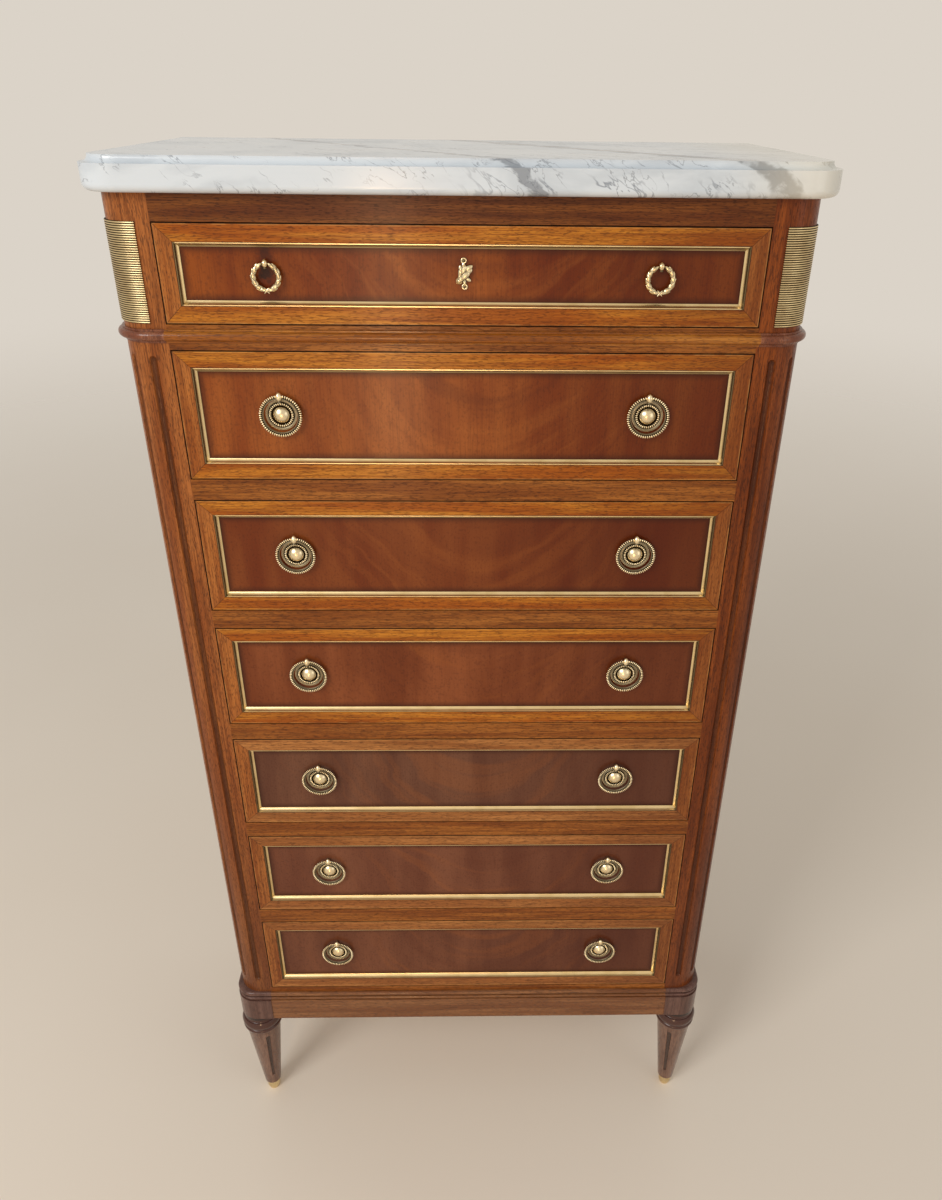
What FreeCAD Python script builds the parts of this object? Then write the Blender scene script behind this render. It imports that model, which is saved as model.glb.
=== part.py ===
"""A Louis XVI style semainier: seven drawers, a marble top and turned, fluted legs.

Units are millimetres. The origin is on the floor at the centre of the footprint, +Z is up and
the drawer fronts face -Y. "Left" is -X, as seen by someone who stands before the chest.
Each sub-part is written to parts/NAME.step.
"""
import FreeCAD, Part
import math
import os

V = FreeCAD.Vector
UP = V(0, 0, 1)
SIDES = (("left", -1), ("right", 1))

# ---------------------------------------------------------------- driving dimensions
# Carcass
CARCASS_WIDTH = 706.0
CARCASS_DEPTH = 350.0
POST_WIDTH = 52.0
POST_DEPTH = 60.0
POST_CORNER_RADIUS = 35.0
REAR_POST_SIZE = 45.0
RAIL_DEPTH = 45.0
SIDE_PANEL_THICKNESS = 18.0
SIDE_PANEL_RECESS = 3.0
PANEL_TONGUE_THICKNESS = 8.0
PANEL_TONGUE_LENGTH = 8.0
BACK_PANEL_THICKNESS = 8.0
BACK_PANEL_RECESS = 3.0
BACK_REBATE_WIDTH = 12.0
BOTTOM_BOARD_THICKNESS = 12.0
RUNNER_WIDTH = 24.0
RUNNER_HEIGHT = 19.0
GUIDE_HEIGHT = 16.0

# Tenons of the front rails and the side rails
RAIL_TENON_LENGTH = 22.0
RAIL_TENON_THICKNESS = 15.0
SIDE_TENON_LENGTH = 18.0
SIDE_TENON_THICKNESS = 9.0
TENON_SHOULDER = 4.0

# Heights, from the floor up
LEG_LENGTH = 216.0
PLINTH_HEIGHT = 41.0
BOTTOM_RAIL_HEIGHT = 25.5
TALL_DRAWER_COUNT = 6
TALL_DRAWER_HEIGHT = 139.0
DRAWER_RAIL_HEIGHT = 24.0
WAIST_RAIL_HEIGHT = 25.5
TOP_DRAWER_HEIGHT = 95.0
FRIEZE_RAIL_HEIGHT = 26.0
MARBLE_THICKNESS = 32.0

# Marble
MARBLE_FRONT_OVERHANG = 15.0
MARBLE_SIDE_OVERHANG = 13.0
MARBLE_CORNER_RADIUS = 40.0
MARBLE_COVE_WIDTH = 9.0
MARBLE_COVE_SHELF = 1.5
MARBLE_COVE_HEIGHT = 7.0
MARBLE_LIP_HEIGHT = 1.5
MARBLE_UNDER_RADIUS = 7.0

# Post flutes and the ribbed plates above them
FLUTE_RADIUS = 4.5
FLUTE_DEPTH = 3.3
FLUTE_ANGLES = (3.0, 45.0, 87.0)
FLUTE_FOOT = 41.5
FLUTE_HEAD = 13.0
RIB_COUNT = 44
RIB_HEIGHT = 0.8
RIB_PLATE_THICKNESS = 1.0
RIB_PLATE_OVERLAP = 2.0

# Waist moulding and base moulding: bead radii, and how far their flats stand out
WAIST_STRIP = 4.5
WAIST_FILLET = 2.5
WAIST_FILLET_HEIGHT = 1.8
WAIST_BEAD_RADIUS = 4.7
WAIST_FOOT = 0.8
WAIST_FOOT_HEIGHT = 2.8
WAIST_FOOT_BULGE = 0.2
BASE_UPPER_BEAD_RADIUS = 3.7
BASE_UPPER_FILLET = 0.9
BASE_QUIRK_HEIGHT = 2.3
BASE_LOWER_BEAD_RADIUS = 2.0
BASE_LOWER_FILLET = 2.4
BASE_FOOT_HEIGHT = 2.5
BASE_CORNER_RADIUS = 23.0
MOULDING_JOINT_INSET = 50.0

# Plinth
PLINTH_PROJECTION = 4.0
PLINTH_BOARD_THICKNESS = 24.0
BLOCK_PROJECTION = 5.0
BLOCK_WIDTH = 54.0
BLOCK_DEPTH = 65.0

# Legs and sabots: radii and heights of the turning, from the top down
LEG_AXIS_INSET_X = 25.5
LEG_AXIS_INSET_Y = 36.0
LEG_TENON_RADIUS = 12.0
LEG_TENON_LENGTH = 30.0
LEG_NECK_RADIUS = 27.3
LEG_NECK_HEIGHT = 19.0
LEG_SCOTIA_RADIUS = 25.8
LEG_SCOTIA_HEIGHT = 4.5
LEG_SHOULDER_RADIUS = 28.4
LEG_TORUS_RADIUS = 31.0
LEG_TORUS_HEIGHT = 15.5
LEG_QUIRK_RADIUS = 28.6
LEG_BEAD_RADIUS = 30.3
LEG_BEAD_HEIGHT = 6.5
LEG_TAPER_TOP_RADIUS = 27.0
LEG_TAPER_FOOT_RADIUS = 12.8
LEG_FLUTE_COUNT = 4
LEG_FLUTE_TURN = 24.0
LEG_FLUTE_TOP_RADIUS = 3.8
LEG_FLUTE_FOOT_RADIUS = 2.4
LEG_FLUTE_DEPTH_SHARE = 0.7
LEG_FLUTE_HEAD_MARGIN = 14.0
LEG_FLUTE_FOOT_MARGIN = 22.0
SABOT_HEIGHT = 22.0
SABOT_RING_RADIUS = 11.6
SABOT_RING_HEIGHT = 3.4
SABOT_CUP_RADIUS = 9.4
SABOT_CUP_BULGE = 0.08
SABOT_FOOT_RADIUS = 7.8
SABOT_WALL = 1.2
SABOT_FLOOR = 2.5

# Drawer fronts
REVEAL = 1.0
FRAME_WIDTH = 17.5
PANEL_RECESS = 5.5
CORE_THICKNESS = 14.5
BRASS_WIDTH = 4.5
BRASS_DEPTH = 5.2
BRASS_FLAT = 1.0
BRASS_EDGE = 0.5
BRASS_HOLLOW_BULGE = 0.13

# Drawer boxes
DRAWER_SIDE_THICKNESS = 11.0
DRAWER_BACK_THICKNESS = 10.0
DRAWER_BOTTOM_THICKNESS = 6.0
DRAWER_BOTTOM_RAISE = 9.0
DRAWER_GROOVE_DEPTH = 5.0
DRAWER_TOP_DROP = 8.0
DRAWER_BACK_CLEARANCE = 14.0
DOVETAIL_LENGTH = 10.0
DOVETAIL_PITCH = 30.0
DOVETAIL_SLOPE = 0.16
DOVETAIL_SHARE = 0.28

# Ring pulls of the tall drawers
PULL_OFFSET = 195.5
PULL_RAISE = 1.5
RING_OUTER_RADIUS = 23.1
RING_INNER_RADIUS = 17.7
RING_BEAD_RADIUS = 1.7
RING_BAND_HALF_THICKNESS = 1.3
RING_FORWARD = 5.6
ROSETTE_RADIUS = 16.7
ROSETTE_RIM_HEIGHT = 1.6
ROSETTE_DISH_HEIGHT = 0.9
ROSETTE_DISH_BULGE = 0.13
ROSETTE_BEAD_RING_RADIUS = 12.3
ROSETTE_BEAD_RADIUS = 1.4
ROSETTE_DOME_RADIUS = 7.8
ROSETTE_DOME_HEIGHT = 7.0
KNUCKLE_RADIUS = 2.6
KNUCKLE_HEIGHT = 11.0
PIVOT_PIN_RADIUS = 1.2

# Wreath rings of the top drawer
WREATH_OFFSET = 195.5
WREATH_RAISE = -1.8
WREATH_OUTER_RADIUS = 15.2
WREATH_TUBE_RADIUS = 2.7
WREATH_KNUCKLE_RADIUS = 2.3
WREATH_KNUCKLE_HEIGHT = 9.0
WREATH_PIN_RADIUS = 1.0

# Shared by both kinds of pull: the knuckle's turning, its stem and the nut behind
KNUCKLE_FOOT_SHARE = 0.45
KNUCKLE_NECK_SHARE = 0.55
KNUCKLE_NECK_RISE = 0.6
KNUCKLE_STEM_RADIUS = 1.9
PIN_SEAT = 1.0
STUD_RADIUS = 2.0
STUD_PROUD = 1.0
STUD_NUT_SIZE = 9.0
STUD_NUT_THICKNESS = 3.0

# Ornament pinned to the middle of the top drawer
ORNAMENT_HEIGHT = 31.0
ORNAMENT_ROD_RADIUS = 2.9
ORNAMENT_ROD_LENGTH = 13.0
ORNAMENT_TILTS = (32.0, -19.0)
ORNAMENT_RAISE = 2.0
ORNAMENT_EYE_RADIUS = 2.9
ORNAMENT_EYE_THICKNESS = 1.6
ORNAMENT_NAIL_RADIUS = 1.2

# Clearances
RUN_GAP = 0.5
HOLE_CLEARANCE = 0.2
PIVOT_CLEARANCE = 0.3
KNUCKLE_CLEARANCE = 0.5
TENON_CLEARANCE = 0.1
TENON_END_GAP = 1.0
GROOVE_END_GAP = 0.5
OVERCUT = 1.0
MITRE_MARGIN = 0.01
QUARTER = (math.sqrt(2) - 1) / 2

# ---------------------------------------------------------------- places worked out from them
HALF_WIDTH = CARCASS_WIDTH / 2
MARBLE_DEPTH = CARCASS_DEPTH + MARBLE_FRONT_OVERHANG
MARBLE_HALF_WIDTH = HALF_WIDTH + MARBLE_SIDE_OVERHANG
MARBLE_FRONT_Y = -MARBLE_DEPTH / 2
FACE_Y = MARBLE_FRONT_Y + MARBLE_FRONT_OVERHANG
BACK_Y = FACE_Y + CARCASS_DEPTH
POST_INNER_X = HALF_WIDTH - POST_WIDTH
CORNER_X = HALF_WIDTH - POST_CORNER_RADIUS
CORNER_Y = FACE_Y + POST_CORNER_RADIUS
RAIL_BACK_Y = FACE_Y + RAIL_DEPTH
POST_BACK_Y = FACE_Y + POST_DEPTH
REAR_POST_Y = BACK_Y - REAR_POST_SIZE
REAR_POST_INNER_X = HALF_WIDTH - REAR_POST_SIZE
PANEL_OUTER_X = HALF_WIDTH - SIDE_PANEL_RECESS
PANEL_INNER_X = PANEL_OUTER_X - SIDE_PANEL_THICKNESS
BACK_PANEL_Y = BACK_Y - BACK_PANEL_RECESS - BACK_PANEL_THICKNESS

PLINTH_Z = LEG_LENGTH
CARCASS_Z = PLINTH_Z + PLINTH_HEIGHT
FIRST_OPENING_Z = CARCASS_Z + BOTTOM_RAIL_HEIGHT
TALL_OPENING = TALL_DRAWER_HEIGHT + 2 * REVEAL
TALL_PITCH = TALL_OPENING + DRAWER_RAIL_HEIGHT
WAIST_RAIL_Z = FIRST_OPENING_Z + TALL_DRAWER_COUNT * TALL_PITCH - DRAWER_RAIL_HEIGHT
WAIST_TOP_Z = WAIST_RAIL_Z + WAIST_RAIL_HEIGHT
TOP_OPENING = TOP_DRAWER_HEIGHT + 2 * REVEAL
FRIEZE_RAIL_Z = WAIST_TOP_Z + TOP_OPENING
MARBLE_Z = FRIEZE_RAIL_Z + FRIEZE_RAIL_HEIGHT
TOTAL_HEIGHT = MARBLE_Z + MARBLE_THICKNESS

FRONT_HALF_WIDTH = POST_INNER_X - REVEAL
CORE_Y = FACE_Y + PANEL_RECESS
CORE_BACK_Y = CORE_Y + CORE_THICKNESS
DRAWER_BACK_Y = BACK_PANEL_Y - DRAWER_BACK_CLEARANCE
DRAWER_INNER_X = FRONT_HALF_WIDTH - DRAWER_SIDE_THICKNESS
GUIDE_X = FRONT_HALF_WIDTH + RUN_GAP
RUNNER_X = GUIDE_X - RUNNER_WIDTH

BLOCK_OUTER_X = HALF_WIDTH + BLOCK_PROJECTION
BLOCK_INNER_X = BLOCK_OUTER_X - BLOCK_WIDTH
BLOCK_FRONT_Y = FACE_Y - BLOCK_PROJECTION
BLOCK_BACK_Y = BLOCK_FRONT_Y + BLOCK_DEPTH
REAR_BLOCK_Y = BACK_Y - BLOCK_DEPTH
PLINTH_OUTER_X = HALF_WIDTH + PLINTH_PROJECTION
PLINTH_INNER_X = PLINTH_OUTER_X - PLINTH_BOARD_THICKNESS
PLINTH_FRONT_Y = FACE_Y - PLINTH_PROJECTION
LEG_X = BLOCK_OUTER_X - LEG_AXIS_INSET_X
LEG_FRONT_Y = BLOCK_FRONT_Y + LEG_AXIS_INSET_Y
LEG_REAR_Y = BACK_Y - LEG_AXIS_INSET_Y
MOULDING_JOINT_X = HALF_WIDTH - MOULDING_JOINT_INSET
MOULDING_JOINT_Y = FACE_Y + MOULDING_JOINT_INSET
RING_RISE = (RING_OUTER_RADIUS + RING_INNER_RADIUS) / 2
WREATH_RISE = WREATH_OUTER_RADIUS - WREATH_TUBE_RADIUS


# ---------------------------------------------------------------- general shapes
def box(x0, x1, y0, y1, z0, z1):
    """A block between two opposite corners."""
    return Part.makeBox(x1 - x0, y1 - y0, z1 - z0, V(x0, y0, z0))


def face(path, place):
    """A flat face inside a closed path of (u, v) points; a step (via, end) is an arc."""
    edges = []
    here = path[0]
    for step in path[1:] + [path[0]]:
        is_arc = isinstance(step[0], tuple)
        end = step[1] if is_arc else step
        start_point = place(*here)
        end_point = place(*end)
        if is_arc:
            edges.append(Part.Arc(start_point, place(*step[0]), end_point).toShape())
        elif start_point.distanceToPoint(end_point) > 1e-6:
            edges.append(Part.makeLine(start_point, end_point))
        here = end
    return Part.Face(Part.Wire(edges))


def arc_step(start, end, bulge):
    """The step of a path that bows to the left of its chord by a share of the chord's length."""
    across = end[0] - start[0]
    along = end[1] - start[1]
    via = ((start[0] + end[0]) / 2 - bulge * along, (start[1] + end[1]) / 2 + bulge * across)
    return via, end


def turned(path, x, y, z=0.0):
    """A turning about the vertical axis at x, y; the path holds (radius, height) points."""
    profile = face(path, lambda radius, height: V(x + radius, y, z + height))
    return profile.revolve(V(x, y, 0), UP, 360)


def turned_forward(path, x, y, z):
    """A turning about a line along Y; the path holds (radius, how far it stands out)."""
    profile = face(path, lambda radius, height: V(x + radius, y - height, z))
    return profile.revolve(V(x, y, z), V(0, 1, 0), 360)


def cap_arc(radius, foot, height):
    """The step that closes a turning with a spherical cap, from (radius, foot) to its crown."""
    ball = (radius ** 2 + height ** 2) / (2 * height)
    half_angle = math.atan2(radius, ball - height) / 2
    centre = foot + height - ball
    return ((ball * math.sin(half_angle), centre + ball * math.cos(half_angle)),
            (0.0, foot + height))


def front_run(path, x0, x1, front_y):
    """A moulding along the front; the path holds (projection, height) points."""
    profile = face(path, lambda out, height: V(x0, front_y - out, height))
    return profile.extrude(V(x1 - x0, 0, 0))


def side_run(path, y0, y1, side_x):
    """A moulding along the right-hand side."""
    profile = face(path, lambda out, height: V(side_x + out, y0, height))
    return profile.extrude(V(0, y1 - y0, 0))


def corner_run(path, centre_x, centre_y, radius):
    """A moulding round the right-hand front corner."""
    profile = face(path, lambda out, height: V(centre_x, centre_y - radius - out, height))
    return profile.revolve(V(centre_x, centre_y, 0), UP, 90)


def mirrored(shape):
    """The same piece on the other side of the chest."""
    return shape.mirror(V(0, 0, 0), V(1, 0, 0))


def joined(first, *others):
    """One solid from touching or overlapping ones, without the seams between them."""
    return first.fuse(list(others)).removeSplitter()


def corner_post(width, depth, radius, outer_x, front_y, z0, z1):
    """An upright at the right-hand front corner with its outer arris rounded."""
    diagonal = radius * (1 - math.sqrt(0.5))
    inner_x = outer_x - width
    path = [
        (inner_x, front_y),
        (outer_x - radius, front_y),
        ((outer_x - diagonal, front_y + diagonal), (outer_x, front_y + radius)),
        (outer_x, front_y + depth),
        (inner_x, front_y + depth),
    ]
    return face(path, lambda x, y: V(x, y, z0)).extrude(V(0, 0, z1 - z0))


def write(name, *solids):
    """Writes one node's solids to its STEP file."""
    parts = []
    for shape in solids:
        parts.extend(shape.Solids)
    shape = parts[0] if len(parts) == 1 else Part.makeCompound(parts)
    shape.exportStep("parts/%s.step" % name)


# ---------------------------------------------------------------- marble top
def marble_top():
    """A slab with round front corners, a cove under its top arris and a round lower edge."""
    half = corner_post(MARBLE_HALF_WIDTH, MARBLE_DEPTH, MARBLE_CORNER_RADIUS,
                       MARBLE_HALF_WIDTH, MARBLE_FRONT_Y, MARBLE_Z, TOTAL_HEIGHT)
    slab = joined(half, mirrored(half))
    shelf = (-MARBLE_COVE_SHELF, TOTAL_HEIGHT - MARBLE_COVE_HEIGHT)
    lip = (-MARBLE_COVE_WIDTH, TOTAL_HEIGHT - MARBLE_LIP_HEIGHT)
    cove = [
        (OVERCUT, shelf[1]),
        shelf,
        arc_step(shelf, lip, QUARTER),
        (-MARBLE_COVE_WIDTH, TOTAL_HEIGHT + OVERCUT),
        (OVERCUT, TOTAL_HEIGHT + OVERCUT),
    ]
    edge = (0.0, MARBLE_Z + MARBLE_UNDER_RADIUS)
    under = [
        (OVERCUT, MARBLE_Z - OVERCUT),
        (OVERCUT, edge[1]),
        edge,
        arc_step(edge, (-MARBLE_UNDER_RADIUS, MARBLE_Z), QUARTER),
        (-MARBLE_UNDER_RADIUS, MARBLE_Z - OVERCUT),
    ]
    corner_x = MARBLE_HALF_WIDTH - MARBLE_CORNER_RADIUS
    corner_y = MARBLE_FRONT_Y + MARBLE_CORNER_RADIUS
    back_y = MARBLE_FRONT_Y + MARBLE_DEPTH + OVERCUT
    waste = []
    for path in (cove, under):
        turn = corner_run(path, corner_x, corner_y, MARBLE_CORNER_RADIUS)
        side = side_run(path, corner_y, back_y, MARBLE_HALF_WIDTH)
        waste += [front_run(path, -corner_x, corner_x, MARBLE_FRONT_Y)]
        waste += [turn, mirrored(turn), side, mirrored(side)]
    return slab.cut(waste)


# ---------------------------------------------------------------- carcass
def flute(angle):
    """A round-ended cutter that runs up the post's rounded corner at one angle."""
    reach = POST_CORNER_RADIUS - FLUTE_DEPTH + FLUTE_RADIUS
    x = CORNER_X + reach * math.sin(math.radians(angle))
    y = CORNER_Y - reach * math.cos(math.radians(angle))
    z0 = CARCASS_Z + FLUTE_FOOT + FLUTE_RADIUS
    z1 = waist_moulding_foot() - FLUTE_HEAD - FLUTE_RADIUS
    shaft = Part.makeCylinder(FLUTE_RADIUS, z1 - z0, V(x, y, z0))
    return shaft.fuse([Part.makeSphere(FLUTE_RADIUS, V(x, y, z0)),
                       Part.makeSphere(FLUTE_RADIUS, V(x, y, z1))])


def opening_floors():
    """Height of the floor of each drawer opening, from the top drawer down."""
    tall = [FIRST_OPENING_Z + step * TALL_PITCH for step in range(TALL_DRAWER_COUNT)]
    return [WAIST_TOP_Z] + tall[::-1]


def drawer_rail_spans():
    """Foot and top of the front rail under each drawer, from the waist down."""
    spans = [(WAIST_RAIL_Z, WAIST_TOP_Z)]
    spans += [(floor - DRAWER_RAIL_HEIGHT, floor) for floor in opening_floors()[1:-1]]
    return spans + [(CARCASS_Z, FIRST_OPENING_Z)]


def rail_tenon(z0, z1, clearance=0.0, end_gap=0.0):
    """The tenon at a front rail's right-hand end, or with clearances its mortise."""
    middle_y = FACE_Y + RAIL_DEPTH / 2
    half = RAIL_TENON_THICKNESS / 2 + clearance
    return box(POST_INNER_X, POST_INNER_X + RAIL_TENON_LENGTH + end_gap,
               middle_y - half, middle_y + half,
               z0 + TENON_SHOULDER - clearance, z1 - TENON_SHOULDER + clearance)


def front_rail(z0, z1):
    """A rail across the front with a tenon at each end."""
    tenon = rail_tenon(z0, z1)
    return joined(box(-POST_INNER_X, POST_INNER_X, FACE_Y, RAIL_BACK_Y, z0, z1),
                  tenon, mirrored(tenon))


def side_rail_spans():
    """Foot and top of the side rails: at the foot, the waist and the top."""
    return [(CARCASS_Z, FIRST_OPENING_Z), (WAIST_RAIL_Z, WAIST_TOP_Z), (FRIEZE_RAIL_Z, MARBLE_Z)]


def side_tenons(z0, z1, clearance=0.0, end_gap=0.0):
    """A right-hand side rail's tenons in the front and rear posts, or their mortises."""
    middle_x = (PANEL_INNER_X + HALF_WIDTH) / 2
    half = SIDE_TENON_THICKNESS / 2 + clearance
    reach = SIDE_TENON_LENGTH + end_gap
    return [box(middle_x - half, middle_x + half, y0, y1,
                z0 + TENON_SHOULDER - clearance, z1 - TENON_SHOULDER + clearance)
            for y0, y1 in ((POST_BACK_Y - reach, POST_BACK_Y), (REAR_POST_Y, REAR_POST_Y + reach))]


def panel_spans():
    """Foot and top of the side panels, between the side rails."""
    return [(FIRST_OPENING_Z, WAIST_RAIL_Z), (WAIST_TOP_Z, FRIEZE_RAIL_Z)]


def panel_tongue(z0, z1, clearance=0.0):
    """The thin edge round a right-hand side panel, or with a clearance the groove for it."""
    middle_x = (PANEL_INNER_X + PANEL_OUTER_X) / 2
    half = PANEL_TONGUE_THICKNESS / 2
    reach = PANEL_TONGUE_LENGTH + clearance
    return box(middle_x - half, middle_x + half, POST_BACK_Y - reach, REAR_POST_Y + reach,
               z0 - reach, z1 + reach)


def panel_grooves():
    """The grooves round both right-hand side panels."""
    return [panel_tongue(z0, z1, GROOVE_END_GAP) for z0, z1 in panel_spans()]


def side_mortises():
    """Every mortise for the right-hand side rails."""
    mortises = []
    for z0, z1 in side_rail_spans():
        mortises += side_tenons(z0, z1, TENON_CLEARANCE, TENON_END_GAP)
    return mortises


def front_post():
    """The right-hand front post: round and fluted outside, mortised and grooved inside."""
    post = corner_post(POST_WIDTH, POST_DEPTH, POST_CORNER_RADIUS,
                       HALF_WIDTH, FACE_Y, CARCASS_Z, MARBLE_Z)
    mortises = [rail_tenon(z0, z1, TENON_CLEARANCE, TENON_END_GAP)
                for z0, z1 in drawer_rail_spans() + [(FRIEZE_RAIL_Z, MARBLE_Z)]]
    flutes = [flute(angle) for angle in FLUTE_ANGLES]
    return post.cut(flutes + mortises + side_mortises() + panel_grooves())


def rear_post():
    """A square post, mortised, grooved and rebated at its inner back corner for the back."""
    post = box(REAR_POST_INNER_X, HALF_WIDTH, REAR_POST_Y, BACK_Y, CARCASS_Z, MARBLE_Z)
    rebate = box(REAR_POST_INNER_X - OVERCUT, REAR_POST_INNER_X + BACK_REBATE_WIDTH,
                 BACK_PANEL_Y, BACK_Y + OVERCUT, CARCASS_Z - OVERCUT, MARBLE_Z + OVERCUT)
    return post.cut([rebate] + side_mortises() + panel_grooves())


def side_rails():
    """Right-hand side rails, flush with the posts and tenoned into them."""
    rails = []
    for z0, z1 in side_rail_spans():
        rail = box(PANEL_INNER_X, HALF_WIDTH, POST_BACK_Y, REAR_POST_Y, z0, z1)
        rails.append(joined(rail, *side_tenons(z0, z1)).cut(panel_grooves()))
    return rails


def side_panels():
    """Right-hand side panels, set back from the rails, with a tongue all round."""
    return [joined(box(PANEL_INNER_X, PANEL_OUTER_X, POST_BACK_Y, REAR_POST_Y, z0, z1),
                   panel_tongue(z0, z1))
            for z0, z1 in panel_spans()]


def back_panel():
    """One board in the rear posts' rebates."""
    half = REAR_POST_INNER_X + BACK_REBATE_WIDTH
    return box(-half, half, BACK_PANEL_Y, BACK_Y - BACK_PANEL_RECESS, CARCASS_Z, MARBLE_Z)


def top_frame():
    """Rails under the marble: front, rear and the two kickers above the top drawer's sides."""
    kicker = box(RUNNER_X, PANEL_INNER_X, RAIL_BACK_Y, REAR_POST_Y, FRIEZE_RAIL_Z, MARBLE_Z)
    kicker = kicker.cut(box(POST_INNER_X, HALF_WIDTH, FACE_Y, POST_BACK_Y,
                            FRIEZE_RAIL_Z, MARBLE_Z))
    return [
        front_rail(FRIEZE_RAIL_Z, MARBLE_Z),
        box(-REAR_POST_INNER_X, REAR_POST_INNER_X, REAR_POST_Y, BACK_PANEL_Y,
            FRIEZE_RAIL_Z, MARBLE_Z),
        kicker,
        mirrored(kicker),
    ]


def drawer_runner(floor):
    """Right-hand runner from the front rail to the rear post, with its guide strip on top."""
    foot = floor - RUNNER_HEIGHT
    top = floor + GUIDE_HEIGHT
    runner = box(RUNNER_X, PANEL_INNER_X, RAIL_BACK_Y, REAR_POST_Y, foot, floor)
    guide = box(GUIDE_X, PANEL_INNER_X, RAIL_BACK_Y, REAR_POST_Y, floor, top)
    post = box(POST_INNER_X, HALF_WIDTH, FACE_Y, POST_BACK_Y, foot, top)
    return [runner.cut(post), guide.cut(post)]


def bottom_board():
    """A board inside the plinth, notched round the four corner blocks."""
    z0 = CARCASS_Z - BOTTOM_BOARD_THICKNESS
    rear_y = BACK_Y - PLINTH_BOARD_THICKNESS
    front_y = PLINTH_FRONT_Y + PLINTH_BOARD_THICKNESS
    board = box(-PLINTH_INNER_X, PLINTH_INNER_X, front_y, rear_y, z0, CARCASS_Z)
    notches = []
    for y0, y1 in ((BLOCK_FRONT_Y, BLOCK_BACK_Y), (REAR_BLOCK_Y, BACK_Y)):
        notch = box(BLOCK_INNER_X, BLOCK_OUTER_X, y0, y1, z0, CARCASS_Z)
        notches += [notch, mirrored(notch)]
    return board.cut(notches)


# ---------------------------------------------------------------- mouldings
def waist_moulding_foot():
    """Height of the waist moulding's lower edge."""
    top = WAIST_TOP_Z - WAIST_STRIP
    return top - WAIST_FILLET_HEIGHT - 2 * WAIST_BEAD_RADIUS - WAIST_FOOT_HEIGHT


def waist_profile():
    """A fillet over a bold bead with a small cove beneath; (projection, height)."""
    top = WAIST_TOP_Z - WAIST_STRIP
    bead_top = top - WAIST_FILLET_HEIGHT
    bead_foot = (WAIST_FILLET, bead_top - 2 * WAIST_BEAD_RADIUS)
    foot = (WAIST_FOOT, waist_moulding_foot())
    return [
        (0.0, top),
        (WAIST_FILLET, top),
        (WAIST_FILLET, bead_top),
        ((WAIST_FILLET + WAIST_BEAD_RADIUS, bead_top - WAIST_BEAD_RADIUS), bead_foot),
        arc_step(bead_foot, foot, -WAIST_FOOT_BULGE),
        (0.0, foot[1]),
    ]


def base_profile():
    """A bead over a quirk, a smaller bead and a flat foot; (projection, height)."""
    lower = BASE_LOWER_BEAD_RADIUS
    upper = BASE_UPPER_BEAD_RADIUS
    lower_foot = CARCASS_Z + BASE_FOOT_HEIGHT
    lower_top = lower_foot + 2 * lower
    upper_foot = lower_top + BASE_QUIRK_HEIGHT
    top = upper_foot + 2 * upper
    return [
        (0.0, CARCASS_Z),
        (BASE_LOWER_FILLET, CARCASS_Z),
        (BASE_LOWER_FILLET, lower_foot),
        ((BASE_LOWER_FILLET + lower, lower_foot + lower), (BASE_LOWER_FILLET, lower_top)),
        (BASE_UPPER_FILLET, lower_top),
        (BASE_UPPER_FILLET, upper_foot),
        ((BASE_UPPER_FILLET + upper, upper_foot + upper), (BASE_UPPER_FILLET, top)),
        (0.0, top),
    ]


def moulding_corner(path, radius):
    """One piece of moulding that turns the right-hand front corner at a radius."""
    centre_x = HALF_WIDTH - radius
    centre_y = FACE_Y + radius
    return joined(
        front_run(path, MOULDING_JOINT_X, centre_x, FACE_Y),
        corner_run(path, centre_x, centre_y, radius),
        side_run(path, centre_y, MOULDING_JOINT_Y, HALF_WIDTH),
    )


def base_corner():
    """The base moulding's corner piece: squarer than the post, and hollowed to fit round it."""
    path = base_profile()
    top = path[-1][1]
    backing = POST_CORNER_RADIUS - BASE_CORNER_RADIUS
    thick = [(-backing, CARCASS_Z)] + path + [(-backing, top)]
    post = corner_post(POST_WIDTH, POST_DEPTH, POST_CORNER_RADIUS, HALF_WIDTH, FACE_Y,
                       CARCASS_Z - OVERCUT, top + OVERCUT)
    return moulding_corner(thick, BASE_CORNER_RADIUS).cut(post)


def wrapped_moulding(path, corner):
    """Front length, two corner pieces and two side lengths of one moulding."""
    front = front_run(path, -MOULDING_JOINT_X, MOULDING_JOINT_X, FACE_Y)
    side = side_run(path, MOULDING_JOINT_Y, BACK_Y, HALF_WIDTH)
    return [front, corner, mirrored(corner), side, mirrored(side)]


def ribbed_plate():
    """The right-hand ribbed brass plate, bent round the post beside the top drawer."""
    z0 = WAIST_TOP_Z + REVEAL
    z1 = FRIEZE_RAIL_Z
    pitch = (z1 - z0) / RIB_COUNT
    base = RIB_PLATE_THICKNESS
    path = [(0.0, z0), (base, z0)]
    for rib in range(RIB_COUNT):
        foot = z0 + rib * pitch
        path.append(((base + RIB_HEIGHT, foot + pitch / 2), (base, foot + pitch)))
    path.append((0.0, z1))
    return joined(
        front_run(path, CORNER_X - RIB_PLATE_OVERLAP, CORNER_X, FACE_Y),
        corner_run(path, CORNER_X, CORNER_Y, POST_CORNER_RADIUS),
        side_run(path, CORNER_Y, CORNER_Y + RIB_PLATE_OVERLAP, HALF_WIDTH),
    )


# ---------------------------------------------------------------- plinth and legs
def leg_socket(x, y):
    """The hole in a corner block for a leg's tenon."""
    return Part.makeCylinder(LEG_TENON_RADIUS + TENON_CLEARANCE, LEG_TENON_LENGTH + TENON_END_GAP,
                             V(x, y, PLINTH_Z))


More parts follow.
